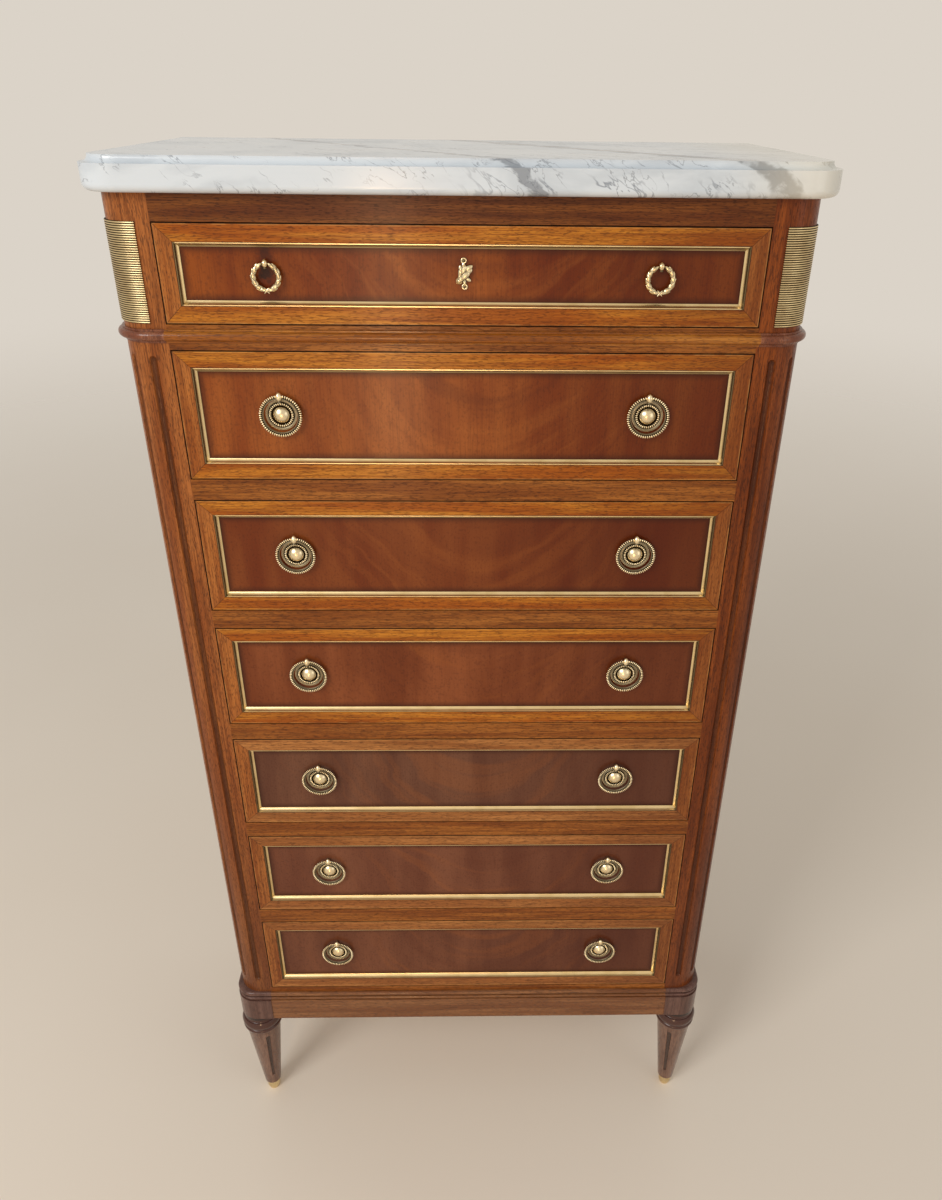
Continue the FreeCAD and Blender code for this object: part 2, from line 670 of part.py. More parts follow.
def plinth():
    """Corner blocks over the legs with a board between each pair."""
    front_block = corner_post(BLOCK_WIDTH, BLOCK_DEPTH, BASE_CORNER_RADIUS + BLOCK_PROJECTION,
                              BLOCK_OUTER_X, BLOCK_FRONT_Y, PLINTH_Z, CARCASS_Z)
    front_block = front_block.cut(leg_socket(LEG_X, LEG_FRONT_Y))
    rear_block = box(BLOCK_INNER_X, BLOCK_OUTER_X, REAR_BLOCK_Y, BACK_Y, PLINTH_Z, CARCASS_Z)
    rear_block = rear_block.cut(leg_socket(LEG_X, LEG_REAR_Y))
    side = box(PLINTH_INNER_X, PLINTH_OUTER_X, BLOCK_BACK_Y, REAR_BLOCK_Y, PLINTH_Z, CARCASS_Z)
    front = box(-BLOCK_INNER_X, BLOCK_INNER_X, PLINTH_FRONT_Y,
                PLINTH_FRONT_Y + PLINTH_BOARD_THICKNESS, PLINTH_Z, CARCASS_Z)
    rear = box(-BLOCK_INNER_X, BLOCK_INNER_X, BACK_Y - PLINTH_BOARD_THICKNESS, BACK_Y,
               PLINTH_Z, CARCASS_Z)
    pairs = [front_block, rear_block, side]
    return [front, rear] + pairs + [mirrored(piece) for piece in pairs]


def leg_taper_radius(z, bead_foot):
    """The radius of the leg's taper at a height."""
    share = (z - SABOT_HEIGHT) / (bead_foot - SABOT_HEIGHT)
    return LEG_TAPER_FOOT_RADIUS + share * (LEG_TAPER_TOP_RADIUS - LEG_TAPER_FOOT_RADIUS)


def leg_flute(bead_foot):
    """A tapering round-ended cutter down the side of the taper, on its +X side."""
    z0 = SABOT_HEIGHT + LEG_FLUTE_FOOT_MARGIN + LEG_FLUTE_FOOT_RADIUS
    z1 = bead_foot - LEG_FLUTE_HEAD_MARGIN - LEG_FLUTE_TOP_RADIUS
    standoff = 1 - LEG_FLUTE_DEPTH_SHARE
    foot = V(leg_taper_radius(z0, bead_foot) + standoff * LEG_FLUTE_FOOT_RADIUS, 0, z0)
    head = V(leg_taper_radius(z1, bead_foot) + standoff * LEG_FLUTE_TOP_RADIUS, 0, z1)
    shaft = Part.makeCone(LEG_FLUTE_FOOT_RADIUS, LEG_FLUTE_TOP_RADIUS, (head - foot).Length,
                          foot, head - foot)
    return shaft.fuse([Part.makeSphere(LEG_FLUTE_FOOT_RADIUS, foot),
                       Part.makeSphere(LEG_FLUTE_TOP_RADIUS, head)])


def leg():
    """A right-hand turned leg on the axis x = y = 0: neck, torus, bead and a fluted taper."""
    neck_foot = LEG_LENGTH - LEG_NECK_HEIGHT
    torus_top = neck_foot - LEG_SCOTIA_HEIGHT
    torus_foot = torus_top - LEG_TORUS_HEIGHT
    bead_foot = torus_foot - LEG_BEAD_HEIGHT
    path = [
        (0.0, SABOT_FLOOR),
        (SABOT_FOOT_RADIUS - SABOT_WALL, SABOT_FLOOR),
        (SABOT_CUP_RADIUS - SABOT_WALL, SABOT_HEIGHT),
        (LEG_TAPER_FOOT_RADIUS, SABOT_HEIGHT),
        (LEG_TAPER_TOP_RADIUS, bead_foot),
        (LEG_QUIRK_RADIUS, bead_foot),
        ((LEG_BEAD_RADIUS, bead_foot + LEG_BEAD_HEIGHT / 2), (LEG_QUIRK_RADIUS, torus_foot)),
        ((LEG_TORUS_RADIUS, torus_foot + LEG_TORUS_HEIGHT / 2), (LEG_SHOULDER_RADIUS, torus_top)),
        (LEG_NECK_RADIUS, torus_top),
        ((LEG_SCOTIA_RADIUS, torus_top + LEG_SCOTIA_HEIGHT / 2), (LEG_NECK_RADIUS, neck_foot)),
        (LEG_NECK_RADIUS, LEG_LENGTH),
        (LEG_TENON_RADIUS, LEG_LENGTH),
        (LEG_TENON_RADIUS, LEG_LENGTH + LEG_TENON_LENGTH),
        (0.0, LEG_LENGTH + LEG_TENON_LENGTH),
    ]
    cuts = []
    for number in range(LEG_FLUTE_COUNT):
        cutter = leg_flute(bead_foot)
        cutter.rotate(V(0, 0, 0), UP, -90.0 - LEG_FLUTE_TURN + number * 360.0 / LEG_FLUTE_COUNT)
        cuts.append(cutter)
    return turned(path, 0.0, 0.0).cut(cuts)


def sabot():
    """A brass cup with a beaded rim for a leg's tip, on the axis x = y = 0."""
    ring = SABOT_RING_HEIGHT / 2
    ring_foot = SABOT_HEIGHT - SABOT_RING_HEIGHT
    cup_foot = (SABOT_FOOT_RADIUS, 0.0)
    path = [
        (0.0, 0.0),
        cup_foot,
        arc_step(cup_foot, (SABOT_CUP_RADIUS, ring_foot), -SABOT_CUP_BULGE),
        (SABOT_RING_RADIUS - ring, ring_foot),
        ((SABOT_RING_RADIUS, SABOT_HEIGHT - ring), (SABOT_RING_RADIUS - ring, SABOT_HEIGHT)),
        (SABOT_CUP_RADIUS - SABOT_WALL, SABOT_HEIGHT),
        (SABOT_FOOT_RADIUS - SABOT_WALL, SABOT_FLOOR),
        (0.0, SABOT_FLOOR),
    ]
    return turned(path, 0.0, 0.0)


def at_each_leg(shape):
    """Copies of a right-hand leg piece at the four corner blocks, mirrored on the left."""
    copies = []
    for y in (LEG_FRONT_Y, LEG_REAR_Y):
        for _, sign in SIDES:
            copy = shape.copy() if sign > 0 else mirrored(shape)
            copy.translate(V(sign * LEG_X, y, 0))
            copies.append(copy)
    return copies


# ---------------------------------------------------------------- drawer fronts
def mitred_frame(half_width, z0, z1, section):
    """Four mitred lengths round an opening; the section holds (inward, depth) points."""
    width = 2 * half_width
    height = z1 - z0
    middle = (z0 + z1) / 2
    reach = max(point[0] for point in corner_points(section)) + MITRE_MARGIN
    lengths = []
    for angle, long_side, short_side in ((0, width, height), (90, height, width),
                                         (180, width, height), (270, height, width)):
        bar = face(section, lambda inward, depth: V(-long_side / 2, FACE_Y + depth,
                                                    inward - short_side / 2))
        bar = bar.extrude(V(long_side, 0, 0))
        mitre = face(
            [(-long_side / 2, -short_side / 2), (long_side / 2, -short_side / 2),
             (long_side / 2 - reach, -short_side / 2 + reach),
             (-long_side / 2 + reach, -short_side / 2 + reach)],
            lambda x, z: V(x, FACE_Y - OVERCUT, z)).extrude(V(0, CORE_THICKNESS + PANEL_RECESS, 0))
        bar = bar.common(mitre)
        bar.rotate(V(0, 0, 0), V(0, -1, 0), angle)
        bar.translate(V(0, 0, middle))
        lengths.append(bar)
    return lengths


def corner_points(path):
    """The end point of each step of a path."""
    return [step[1] if isinstance(step[0], tuple) else step for step in path]


def frame_section():
    """Flat, square-edged mahogany lipping."""
    return [(0.0, 0.0), (FRAME_WIDTH, 0.0), (FRAME_WIDTH, PANEL_RECESS), (0.0, PANEL_RECESS)]


def brass_section():
    """A brass fillet with a flat crown that sweeps down onto the panel in a hollow."""
    crown = PANEL_RECESS - BRASS_DEPTH
    flat_end = (FRAME_WIDTH + BRASS_FLAT, crown)
    thin_end = (FRAME_WIDTH + BRASS_WIDTH, PANEL_RECESS - BRASS_EDGE)
    return [
        (FRAME_WIDTH, crown),
        flat_end,
        arc_step(flat_end, thin_end, BRASS_HOLLOW_BULGE),
        (thin_end[0], PANEL_RECESS),
        (FRAME_WIDTH, PANEL_RECESS),
    ]


def dovetails(z0, z1, root_y, tip_y):
    """Tails along one end of the right-hand drawer side, wider at their tips."""
    count = max(2, round((z1 - z0) / DOVETAIL_PITCH))
    step = (z1 - z0) / count
    narrow = step * DOVETAIL_SHARE
    wide = narrow + DOVETAIL_SLOPE * abs(tip_y - root_y)
    tails = []
    for number in range(count):
        middle = z0 + step * (number + 0.5)
        path = [
            (root_y, middle - narrow),
            (tip_y, middle - wide),
            (tip_y, middle + wide),
            (root_y, middle + narrow),
        ]
        tail = face(path, lambda y, z: V(DRAWER_INNER_X, y, z))
        tails.append(tail.extrude(V(DRAWER_SIDE_THICKNESS, 0, 0)))
    return tails


def front_tails(front_z0, side_z1):
    """The tails that lap into the drawer front."""
    return dovetails(front_z0, side_z1, CORE_BACK_Y, CORE_BACK_Y - DOVETAIL_LENGTH)


def rear_tails(back_z0, side_z1):
    """The tails that pass through the drawer back."""
    return dovetails(back_z0, side_z1, DRAWER_BACK_Y - DRAWER_BACK_THICKNESS, DRAWER_BACK_Y)


def drawer_heights(floor, opening):
    """Front foot and top, side foot and top, for a drawer in an opening."""
    front_z0 = floor + REVEAL
    front_z1 = floor + opening - REVEAL
    side_z0 = floor + RUN_GAP
    side_z1 = front_z1 - DRAWER_TOP_DROP
    return front_z0, front_z1, side_z0, side_z1


def drawer_bottom(side_z0):
    """The bottom board; its edges lie in grooves in the sides and the front."""
    half = DRAWER_INNER_X + DRAWER_GROOVE_DEPTH
    z0 = side_z0 + DRAWER_BOTTOM_RAISE
    return box(-half, half, CORE_BACK_Y - DRAWER_GROOVE_DEPTH, DRAWER_BACK_Y,
               z0, z0 + DRAWER_BOTTOM_THICKNESS)


def drawer_front(floor, opening, stud_points):
    """Core with its veneered face, dovetail sockets, bottom groove and stud holes; lipping."""
    front_z0, front_z1, side_z0, side_z1 = drawer_heights(floor, opening)
    core = box(-FRONT_HALF_WIDTH, FRONT_HALF_WIDTH, CORE_Y, CORE_BACK_Y, front_z0, front_z1)
    tails = front_tails(front_z0, side_z1)
    waste = tails + [mirrored(tail) for tail in tails] + [drawer_bottom(side_z0)]
    for x, z in stud_points:
        waste.append(Part.makeCylinder(STUD_RADIUS + HOLE_CLEARANCE, CORE_THICKNESS,
                                       V(x, CORE_Y, z), V(0, 1, 0)))
    frame = mitred_frame(FRONT_HALF_WIDTH, front_z0, front_z1, frame_section())
    return [core.cut(waste)] + frame


def drawer_box(floor, opening):
    """Two sides dovetailed at both ends, a back above the bottom board, and the bottom."""
    front_z0, _, side_z0, side_z1 = drawer_heights(floor, opening)
    back_z0 = side_z0 + DRAWER_BOTTOM_RAISE + DRAWER_BOTTOM_THICKNESS
    back_y = DRAWER_BACK_Y - DRAWER_BACK_THICKNESS
    tails = rear_tails(back_z0, side_z1)
    side = joined(box(DRAWER_INNER_X, FRONT_HALF_WIDTH, CORE_BACK_Y, back_y, side_z0, side_z1),
                  box(DRAWER_INNER_X, FRONT_HALF_WIDTH, back_y, DRAWER_BACK_Y, side_z0, back_z0),
                  *front_tails(front_z0, side_z1), *tails).cut(drawer_bottom(side_z0))
    back = box(-FRONT_HALF_WIDTH, FRONT_HALF_WIDTH, back_y, DRAWER_BACK_Y, back_z0, side_z1)
    back = back.cut(tails + [mirrored(tail) for tail in tails])
    return [side, mirrored(side), back, drawer_bottom(side_z0)]


# ---------------------------------------------------------------- ring pulls
def pull_mount(x, z, radius, height, pin_radius):
    """A turned knuckle, bored across for the ring's pin, on a stem that goes through the core."""
    y = CORE_Y - RING_FORWARD
    half = height / 2
    neck = (radius * KNUCKLE_NECK_SHARE, half * KNUCKLE_NECK_RISE)
    path = [
        (0.0, -half),
        (radius * KNUCKLE_FOOT_SHARE, -half),
        ((radius, (neck[1] - half) / 2), neck),
        cap_arc(neck[0], neck[1], half - neck[1]),
    ]
    stem_length = RING_FORWARD + CORE_THICKNESS + STUD_NUT_THICKNESS + STUD_PROUD
    stem = Part.makeCylinder(KNUCKLE_STEM_RADIUS, stem_length, V(x, y, z), V(0, 1, 0))
    bore = Part.makeCylinder(pin_radius + PIVOT_CLEARANCE, 4 * radius,
                             V(x - 2 * radius, y, z), V(1, 0, 0))
    return turned(path, x, y, z).fuse(stem).cut(bore)


def stud_nut(x, z):
    """A square nut on the stem, inside the drawer."""
    half = STUD_NUT_SIZE / 2
    nut = box(x - half, x + half, CORE_BACK_Y, CORE_BACK_Y + STUD_NUT_THICKNESS, z - half, z + half)
    hole = Part.makeCylinder(STUD_RADIUS, STUD_NUT_THICKNESS, V(x, CORE_BACK_Y, z), V(0, 1, 0))
    return nut.cut(hole)


def rosette(x, z):
    """A round plate: raised rim, shallow dish, bead ring and a dome in the middle."""
    dish = ROSETTE_DISH_HEIGHT
    rim = (ROSETTE_RADIUS, ROSETTE_RIM_HEIGHT)
    bead_foot = (ROSETTE_BEAD_RING_RADIUS + ROSETTE_BEAD_RADIUS, dish)
    path = [
        (0.0, 0.0),
        (ROSETTE_RADIUS, 0.0),
        rim,
        arc_step(rim, bead_foot, -ROSETTE_DISH_BULGE),
        ((ROSETTE_BEAD_RING_RADIUS, dish + ROSETTE_BEAD_RADIUS),
         (ROSETTE_BEAD_RING_RADIUS - ROSETTE_BEAD_RADIUS, dish)),
        (ROSETTE_DOME_RADIUS, dish),
        cap_arc(ROSETTE_DOME_RADIUS, dish, ROSETTE_DOME_HEIGHT - dish),
    ]
    return turned_forward(path, x, CORE_Y, z)


def ring(x, z, path, rise, knuckle_radius, pin_radius):
    """A hanging ring, open at the top, with a pin across the gap that turns in the knuckle."""
    y = CORE_Y - RING_FORWARD
    half_gap = knuckle_radius + KNUCKLE_CLEARANCE
    gap = box(x - half_gap, x + half_gap, y - rise, y + rise, z, z + 2 * rise)
    pin = Part.makeCylinder(pin_radius, 2 * (half_gap + PIN_SEAT),
                            V(x - half_gap - PIN_SEAT, y, z + rise), V(1, 0, 0))
    return joined(turned_forward(path, x, y, z).cut(gap), pin)


def beaded_ring(x, z):
    """The band of a tall drawer's ring: a rounded inner edge and a thick outer bead."""
    half = RING_BAND_HALF_THICKNESS
    round_end = RING_INNER_RADIUS + half
    bead_middle = RING_OUTER_RADIUS - RING_BEAD_RADIUS
    bead_start = bead_middle - math.sqrt(RING_BEAD_RADIUS ** 2 - half ** 2)
    path = [
        (round_end, half),
        ((RING_INNER_RADIUS, 0.0), (round_end, -half)),
        (bead_start, -half),
        ((RING_OUTER_RADIUS, 0.0), (bead_start, half)),
    ]
    return ring(x, z, path, RING_RISE, KNUCKLE_RADIUS, PIVOT_PIN_RADIUS)


def wreath_ring(x, z):
    """The round-sectioned hoop of a top drawer's wreath."""
    inner = WREATH_OUTER_RADIUS - 2 * WREATH_TUBE_RADIUS
    path = [
        (inner, 0.0),
        ((WREATH_RISE, WREATH_TUBE_RADIUS), (WREATH_OUTER_RADIUS, 0.0)),
        ((WREATH_RISE, -WREATH_TUBE_RADIUS), (inner, 0.0)),
    ]
    return ring(x, z, path, WREATH_RISE, WREATH_KNUCKLE_RADIUS, WREATH_PIN_RADIUS)


def tall_pull(x, z):
    """A tall drawer's pull: rosette, knuckle and nut, and the ring that hangs from them."""
    knuckle = pull_mount(x, z + RING_RISE, KNUCKLE_RADIUS, KNUCKLE_HEIGHT, PIVOT_PIN_RADIUS)
    return [rosette(x, z), knuckle, stud_nut(x, z + RING_RISE)], beaded_ring(x, z)


def wreath_pull(x, z):
    """The top drawer's pull: a small knuckle and its nut, and the wreath ring."""
    knuckle = pull_mount(x, z + WREATH_RISE, WREATH_KNUCKLE_RADIUS, WREATH_KNUCKLE_HEIGHT,
                         WREATH_PIN_RADIUS)
    return [knuckle, stud_nut(x, z + WREATH_RISE)], wreath_ring(x, z)


def ornament():
    """A cast ornament: two crossed stems between two eyes, each with its nail."""
    z = WAIST_TOP_Z + TOP_OPENING / 2 + ORNAMENT_RAISE
    pieces = []
    for tilt in ORNAMENT_TILTS:
        along = V(math.sin(math.radians(tilt)), 0, math.cos(math.radians(tilt)))
        start = V(0, CORE_Y, z) - along * (ORNAMENT_ROD_LENGTH / 2)
        pieces.append(Part.makeCylinder(ORNAMENT_ROD_RADIUS, ORNAMENT_ROD_LENGTH, start, along))
        pieces.append(Part.makeSphere(ORNAMENT_ROD_RADIUS, start))
        pieces.append(Part.makeSphere(ORNAMENT_ROD_RADIUS, start + along * ORNAMENT_ROD_LENGTH))
    for sign in (-1, 1):
        eye_z = z + sign * (ORNAMENT_HEIGHT / 2 - ORNAMENT_EYE_RADIUS)
        eye_y = CORE_Y - ORNAMENT_EYE_THICKNESS
        pieces.append(Part.makeCylinder(ORNAMENT_EYE_RADIUS, ORNAMENT_EYE_THICKNESS,
                                        V(0, CORE_Y, eye_z), V(0, -1, 0)))
        pieces.append(Part.makeSphere(ORNAMENT_NAIL_RADIUS, V(0, eye_y, eye_z)))
        pieces.append(box(-ORNAMENT_NAIL_RADIUS, ORNAMENT_NAIL_RADIUS, eye_y, CORE_Y,
                          min(z, eye_z), max(z, eye_z)))
    reach = ORNAMENT_HEIGHT
    behind = box(-reach, reach, CORE_Y, CORE_Y + reach, z - reach, z + reach)
    return joined(pieces[0], *pieces[1:]).cut(behind)


# ---------------------------------------------------------------- assembly
def write_carcass():
    """Every piece that stands still."""
    post = front_post()
    rear = rear_post()
    write("marble_top", marble_top())
    write("front_post_left", mirrored(post))
    write("front_post_right", post)
    write("rear_posts", mirrored(rear), rear)
    write("side_rails", *side_rails(), *[mirrored(rail) for rail in side_rails()])
    write("side_panels", *side_panels(), *[mirrored(panel) for panel in side_panels()])
    write("back_panel", back_panel())
    write("top_frame", *top_frame())
    write("drawer_rails", *[front_rail(z0, z1) for z0, z1 in drawer_rail_spans()])
    runners = [piece for floor in opening_floors() for piece in drawer_runner(floor)]
    write("drawer_runners", *runners, *[mirrored(runner) for runner in runners])
    write("bottom_board", bottom_board())
    waist_corner = moulding_corner(waist_profile(), POST_CORNER_RADIUS)
    write("waist_moulding", *wrapped_moulding(waist_profile(), waist_corner))
    write("base_moulding", *wrapped_moulding(base_profile(), base_corner()))
    write("plinth", *plinth())
    write("legs", *at_each_leg(leg()))
    write("sabots", *at_each_leg(sabot()))
    plate = ribbed_plate()
    write("ribbed_plates", mirrored(plate), plate)


def write_drawer(number, floor):
    """One drawer: front, brass frame, box, pull mounts and its two rings."""
    if number == 1:
        opening, offset, rise, make_pull = TOP_OPENING, WREATH_OFFSET, WREATH_RISE, wreath_pull
        pull_z = floor + opening / 2 + WREATH_RAISE
    else:
        opening, offset, rise, make_pull = TALL_OPENING, PULL_OFFSET, RING_RISE, tall_pull
        pull_z = floor + opening / 2 + PULL_RAISE
    name = "drawer_%d_" % number
    mounts = []
    studs = []
    for side, sign in SIDES:
        pieces, hoop = make_pull(sign * offset, pull_z)
        mounts += pieces
        studs.append((sign * offset, pull_z + rise))
        write(name + "ring_" + side, hoop)
    front_z0, front_z1, _, _ = drawer_heights(floor, opening)
    write(name + "front", *drawer_front(floor, opening, studs))
    write(name + "brass_frame", *mitred_frame(FRONT_HALF_WIDTH, front_z0, front_z1,
                                              brass_section()))
    write(name + "box", *drawer_box(floor, opening))
    write(name + "pull_mounts", *mounts)


def main():
    os.makedirs("parts", exist_ok=True)
    write_carcass()
    for number, floor in enumerate(opening_floors(), start=1):
        write_drawer(number, floor)
    write("escutcheon", ornament())


main()
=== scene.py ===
# %% [markdown]
# # A tall chest of seven drawers, dressed for its picture
# The joiner's model is loaded first and stays where it is. This lesson gives every wooden, brass
# and marble piece its finish, models the cast brass pulls bead by bead and leaf by leaf, and sets
# up a plain studio with a camera. All lengths are written in millimetres and turned into metres
# by one small value, because a cabinet maker thinks in millimetres and Blender in metres.

# %% Load the chest
import math

import bpy
from mathutils import Matrix, Vector


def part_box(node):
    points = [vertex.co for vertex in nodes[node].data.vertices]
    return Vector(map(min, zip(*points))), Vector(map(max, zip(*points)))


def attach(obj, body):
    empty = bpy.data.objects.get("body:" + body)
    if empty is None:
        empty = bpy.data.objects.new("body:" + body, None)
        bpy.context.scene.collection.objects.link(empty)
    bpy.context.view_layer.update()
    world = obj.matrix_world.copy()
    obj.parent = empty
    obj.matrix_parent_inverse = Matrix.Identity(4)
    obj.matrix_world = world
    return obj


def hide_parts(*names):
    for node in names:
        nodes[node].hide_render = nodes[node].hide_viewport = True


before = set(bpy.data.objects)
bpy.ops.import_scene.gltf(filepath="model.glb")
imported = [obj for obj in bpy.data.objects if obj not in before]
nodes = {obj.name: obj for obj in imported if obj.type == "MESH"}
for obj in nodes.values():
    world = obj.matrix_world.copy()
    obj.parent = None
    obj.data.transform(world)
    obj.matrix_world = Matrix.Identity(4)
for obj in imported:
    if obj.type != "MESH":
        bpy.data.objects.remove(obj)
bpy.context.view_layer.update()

MM = 0.001

# %% [markdown]
# ## Camera
# The chest is seen from standing height, a little under one metre in front of it, looking down by
# about 29 degrees. A camera could be aimed with a Track To constraint, but a tall object seen from
# so close needs the exact turn about the line of sight as well, so the three directions of the
# camera are worked out and put into its matrix. A small sideways shift keeps the chest centred.

# %% Aim the camera
FACE_Y = -167.5
EYE = (14.6, FACE_Y - 957.1, 1484.2)
pitch = math.radians(28.84)
yaw = math.radians(1.43)
roll = math.radians(0.70)
look = Vector((math.sin(yaw) * math.cos(pitch), math.cos(yaw) * math.cos(pitch), -math.sin(pitch)))
level = Vector((math.cos(yaw), -math.sin(yaw), 0.0))
rise = level.cross(look)
right = level * math.cos(roll) + rise * math.sin(roll)
up = rise * math.cos(roll) - level * math.sin(roll)

camera_data = bpy.data.cameras.new("standing_view")
camera_data.lens = 27.742
camera_data.sensor_width = 36.0
camera_data.shift_x = -0.0234
camera = bpy.data.objects.new("standing_view", camera_data)
bpy.context.scene.collection.objects.link(camera)
turn = Matrix((right, up, -look)).transposed().to_4x4()
camera.matrix_world = Matrix.Translation(Vector(EYE) * MM) @ turn
bpy.context.scene.camera = camera
print("camera at", [round(v, 3) for v in camera.matrix_world.translation])

# %% [markdown]
# ## Helpers for materials
# Paint makers give colours as sRGB hex values, while Blender's shaders add light in linear
# values, so one function turns the first into the second. A second function adds a node to a
# material with its settings and its links: every pattern below is written with it.

# %% Colours and nodes
def linear(code):
    """An sRGB hex value as linear RGBA."""
    channels = [int(code[i:i + 2], 16) / 255 for i in (0, 2, 4)]
    return [c / 12.92 if c <= 0.04045 else ((c + 0.055) / 1.055) ** 2.4 for c in channels] + [1.0]


def add(tree, kind, links=None, **settings):
    """A node of one kind with its settings; links gives each socket a value or another socket."""
    node = tree.nodes.new(kind)
    for name, value in settings.items():
        setattr(node, name, value)
    for socket, value in (links or {}).items():
        if isinstance(value, bpy.types.NodeSocket):
            tree.links.new(value, node.inputs[socket])
        else:
            node.inputs[socket].default_value = value
    return node


def new_material(name):
    """An empty node material."""
    material = bpy.data.materials.new(name)
    material.use_nodes = True
    material.node_tree.nodes.clear()
    return material


def dress(node_name, material):
    """Gives a node of the joiner's model one finish."""
    mesh = nodes[node_name].data
    mesh.materials.clear()
    mesh.materials.append(material)


# %% [markdown]
# ## Patterns in real sizes
# Each pattern reads the object's own coordinates, which are metres in the chest's frame. Noise is
# stretched along the grain by giving it a short size across and a long size along. `stretched`
# returns noise whose features measure the given millimetres along X, Y and Z.

# %% Noise, masks and mixing
def position(tree):
    """The point on the chest, in metres."""
    return add(tree, "ShaderNodeTexCoord").outputs["Object"]


def stretched(tree, sizes, seed, detail=2.0, distortion=0.0):
    """Noise whose features measure these millimetres along X, Y and Z."""
    place = add(tree, "ShaderNodeMapping", {
        "Vector": position(tree),
        "Location": (seed * 3.71, seed * 1.93, seed * 2.47),
        "Scale": [1 / (size * MM) for size in sizes]})
    noise = add(tree, "ShaderNodeTexNoise", {
        "Vector": place.outputs[0], "Scale": 1.0, "Detail": detail, "Roughness": 0.55,
        "Distortion": distortion})
    return noise.outputs["Fac"]


def ease(tree, value, start, end, low=0.0, high=1.0):
    """Maps a value smoothly from one range to another."""
    return add(tree, "ShaderNodeMapRange", {
        "Value": value, "From Min": start, "From Max": end, "To Min": low, "To Max": high},
        interpolation_type="SMOOTHSTEP").outputs[0]


def calc(tree, kind, first, second=0.0):
    """One step of arithmetic."""
    return add(tree, "ShaderNodeMath", {0: first, 1: second}, operation=kind).outputs[0]


def mix(tree, share, first, second):
    """Two colours mixed by a share."""
    return add(tree, "ShaderNodeMix", {0: share, 6: first, 7: second},
               data_type="RGBA", clamp_factor=True).outputs[2]


def axes(tree):
    """The X, Y and Z of the point, in millimetres."""
    scaled = add(tree, "ShaderNodeVectorMath", {0: position(tree), "Scale": 1 / MM},
                 operation="SCALE")
    return add(tree, "ShaderNodeSeparateXYZ", {0: scaled.outputs[0]}).outputs


def distance(tree, across, along, middle=(0.0, 0.0)):
    """How far two coordinates lie from a middle, in millimetres."""
    flat = add(tree, "ShaderNodeCombineXYZ", {
        0: calc(tree, "SUBTRACT", across, middle[0]), 1: calc(tree, "SUBTRACT", along, middle[1])})
    return add(tree, "ShaderNodeVectorMath", {0: flat.outputs[0]},
               operation="LENGTH").outputs["Value"]


# %% [markdown]
# ## Mahogany, solid
# The carcass, the rails and the lipping round each drawer front are solid mahogany under French
# polish. Four things make it read as mahogany: a slow drift between gold and red-brown across
# the board, darker stripes, a dense fine fibre, and open pores, which show as short dark dashes
# along the grain. Real pores are about 0.2 mm wide; here they are 1 mm, so that they show.

# %% The mahogany pattern
GRAIN_ALONG = {"X": 0, "Y": 1, "Z": 2}
PORE_DEPTH = 0.05
DULL_BROWN = "4a2a1a"
BROWN_BELOW, PLAIN_ABOVE = 150.0, 800.0


def sized(along, across, grain):
    """Millimetre sizes for X, Y and Z, long in the direction of the grain."""
    sizes = [across] * 3
    sizes[GRAIN_ALONG[grain]] = along
    return sizes


def mahogany(tree, grain, tones, seed):
    """Colour and pore mask of solid mahogany with its grain along X, Y or Z."""
    deep, middle, pale, pore_tone = [linear(tone) for tone in tones]
    drift = stretched(tree, sized(260, 15, grain), seed, 2.0, 0.3)
    stripe = stretched(tree, sized(190, 3.2, grain), seed + 1, 2.0, 0.2)
    fibre = stretched(tree, sized(26, 1.0, grain), seed + 2)
    dashes = stretched(tree, sized(6.5, 0.95, grain), seed + 3, 1.0)
    colour = mix(tree, ease(tree, drift, 0.38, 0.62), middle, pale)
    colour = mix(tree, ease(tree, stripe, 0.46, 0.68, 0.0, 0.50), colour, deep)
    colour = mix(tree, ease(tree, fibre, 0.42, 0.66, 0.0, 0.55), colour, deep)
    pores = ease(tree, dashes, 0.54, 0.63)
    colour = mix(tree, calc(tree, "MULTIPLY", pores, 0.50), colour, pore_tone)
    return colour, pores


def polish(tree, colour, pores, roughness=0.32, coat=0.10):
    """French polish: a soft sheen from the wood, a thin clear coat, and pores that sink in."""
    bump = add(tree, "ShaderNodeBump", {
        "Height": calc(tree, "SUBTRACT", 1.0, pores), "Distance": PORE_DEPTH * MM,
        "Strength": 0.6})
    shader = add(tree, "ShaderNodeBsdfPrincipled", {
        "Base Color": colour, "Normal": bump.outputs[0],
        "Roughness": ease(tree, pores, 0.0, 1.0, roughness, roughness + 0.25),
        "IOR": 1.5, "Specular IOR Level": 0.16, "Coat Weight": coat, "Coat Roughness": 0.16})
    add(tree, "ShaderNodeOutputMaterial", {"Surface": shader.outputs[0]})


def solid_mahogany(name, grain, tones, seed, dust_and_shade=None, foot=0.0):
    """A finished board of solid mahogany; dust_and_shade masks the dust and painted shade of its
    hollows, foot browns its lower end.
    """
    material = new_material(name)
    tree = material.node_tree
    colour, pores = mahogany(tree, grain, tones, seed)
    if foot:
        low = ease(tree, axes(tree)[2], BROWN_BELOW, PLAIN_ABOVE, foot, 0.0)
        colour = mix(tree, low, colour, linear(DULL_BROWN))
    if dust_and_shade:
        # Dust and painted shade darken the hollows.
        colour = mix(tree, dust_and_shade(tree), colour, linear("2e1408"))
    polish(tree, colour, pores)
    return material
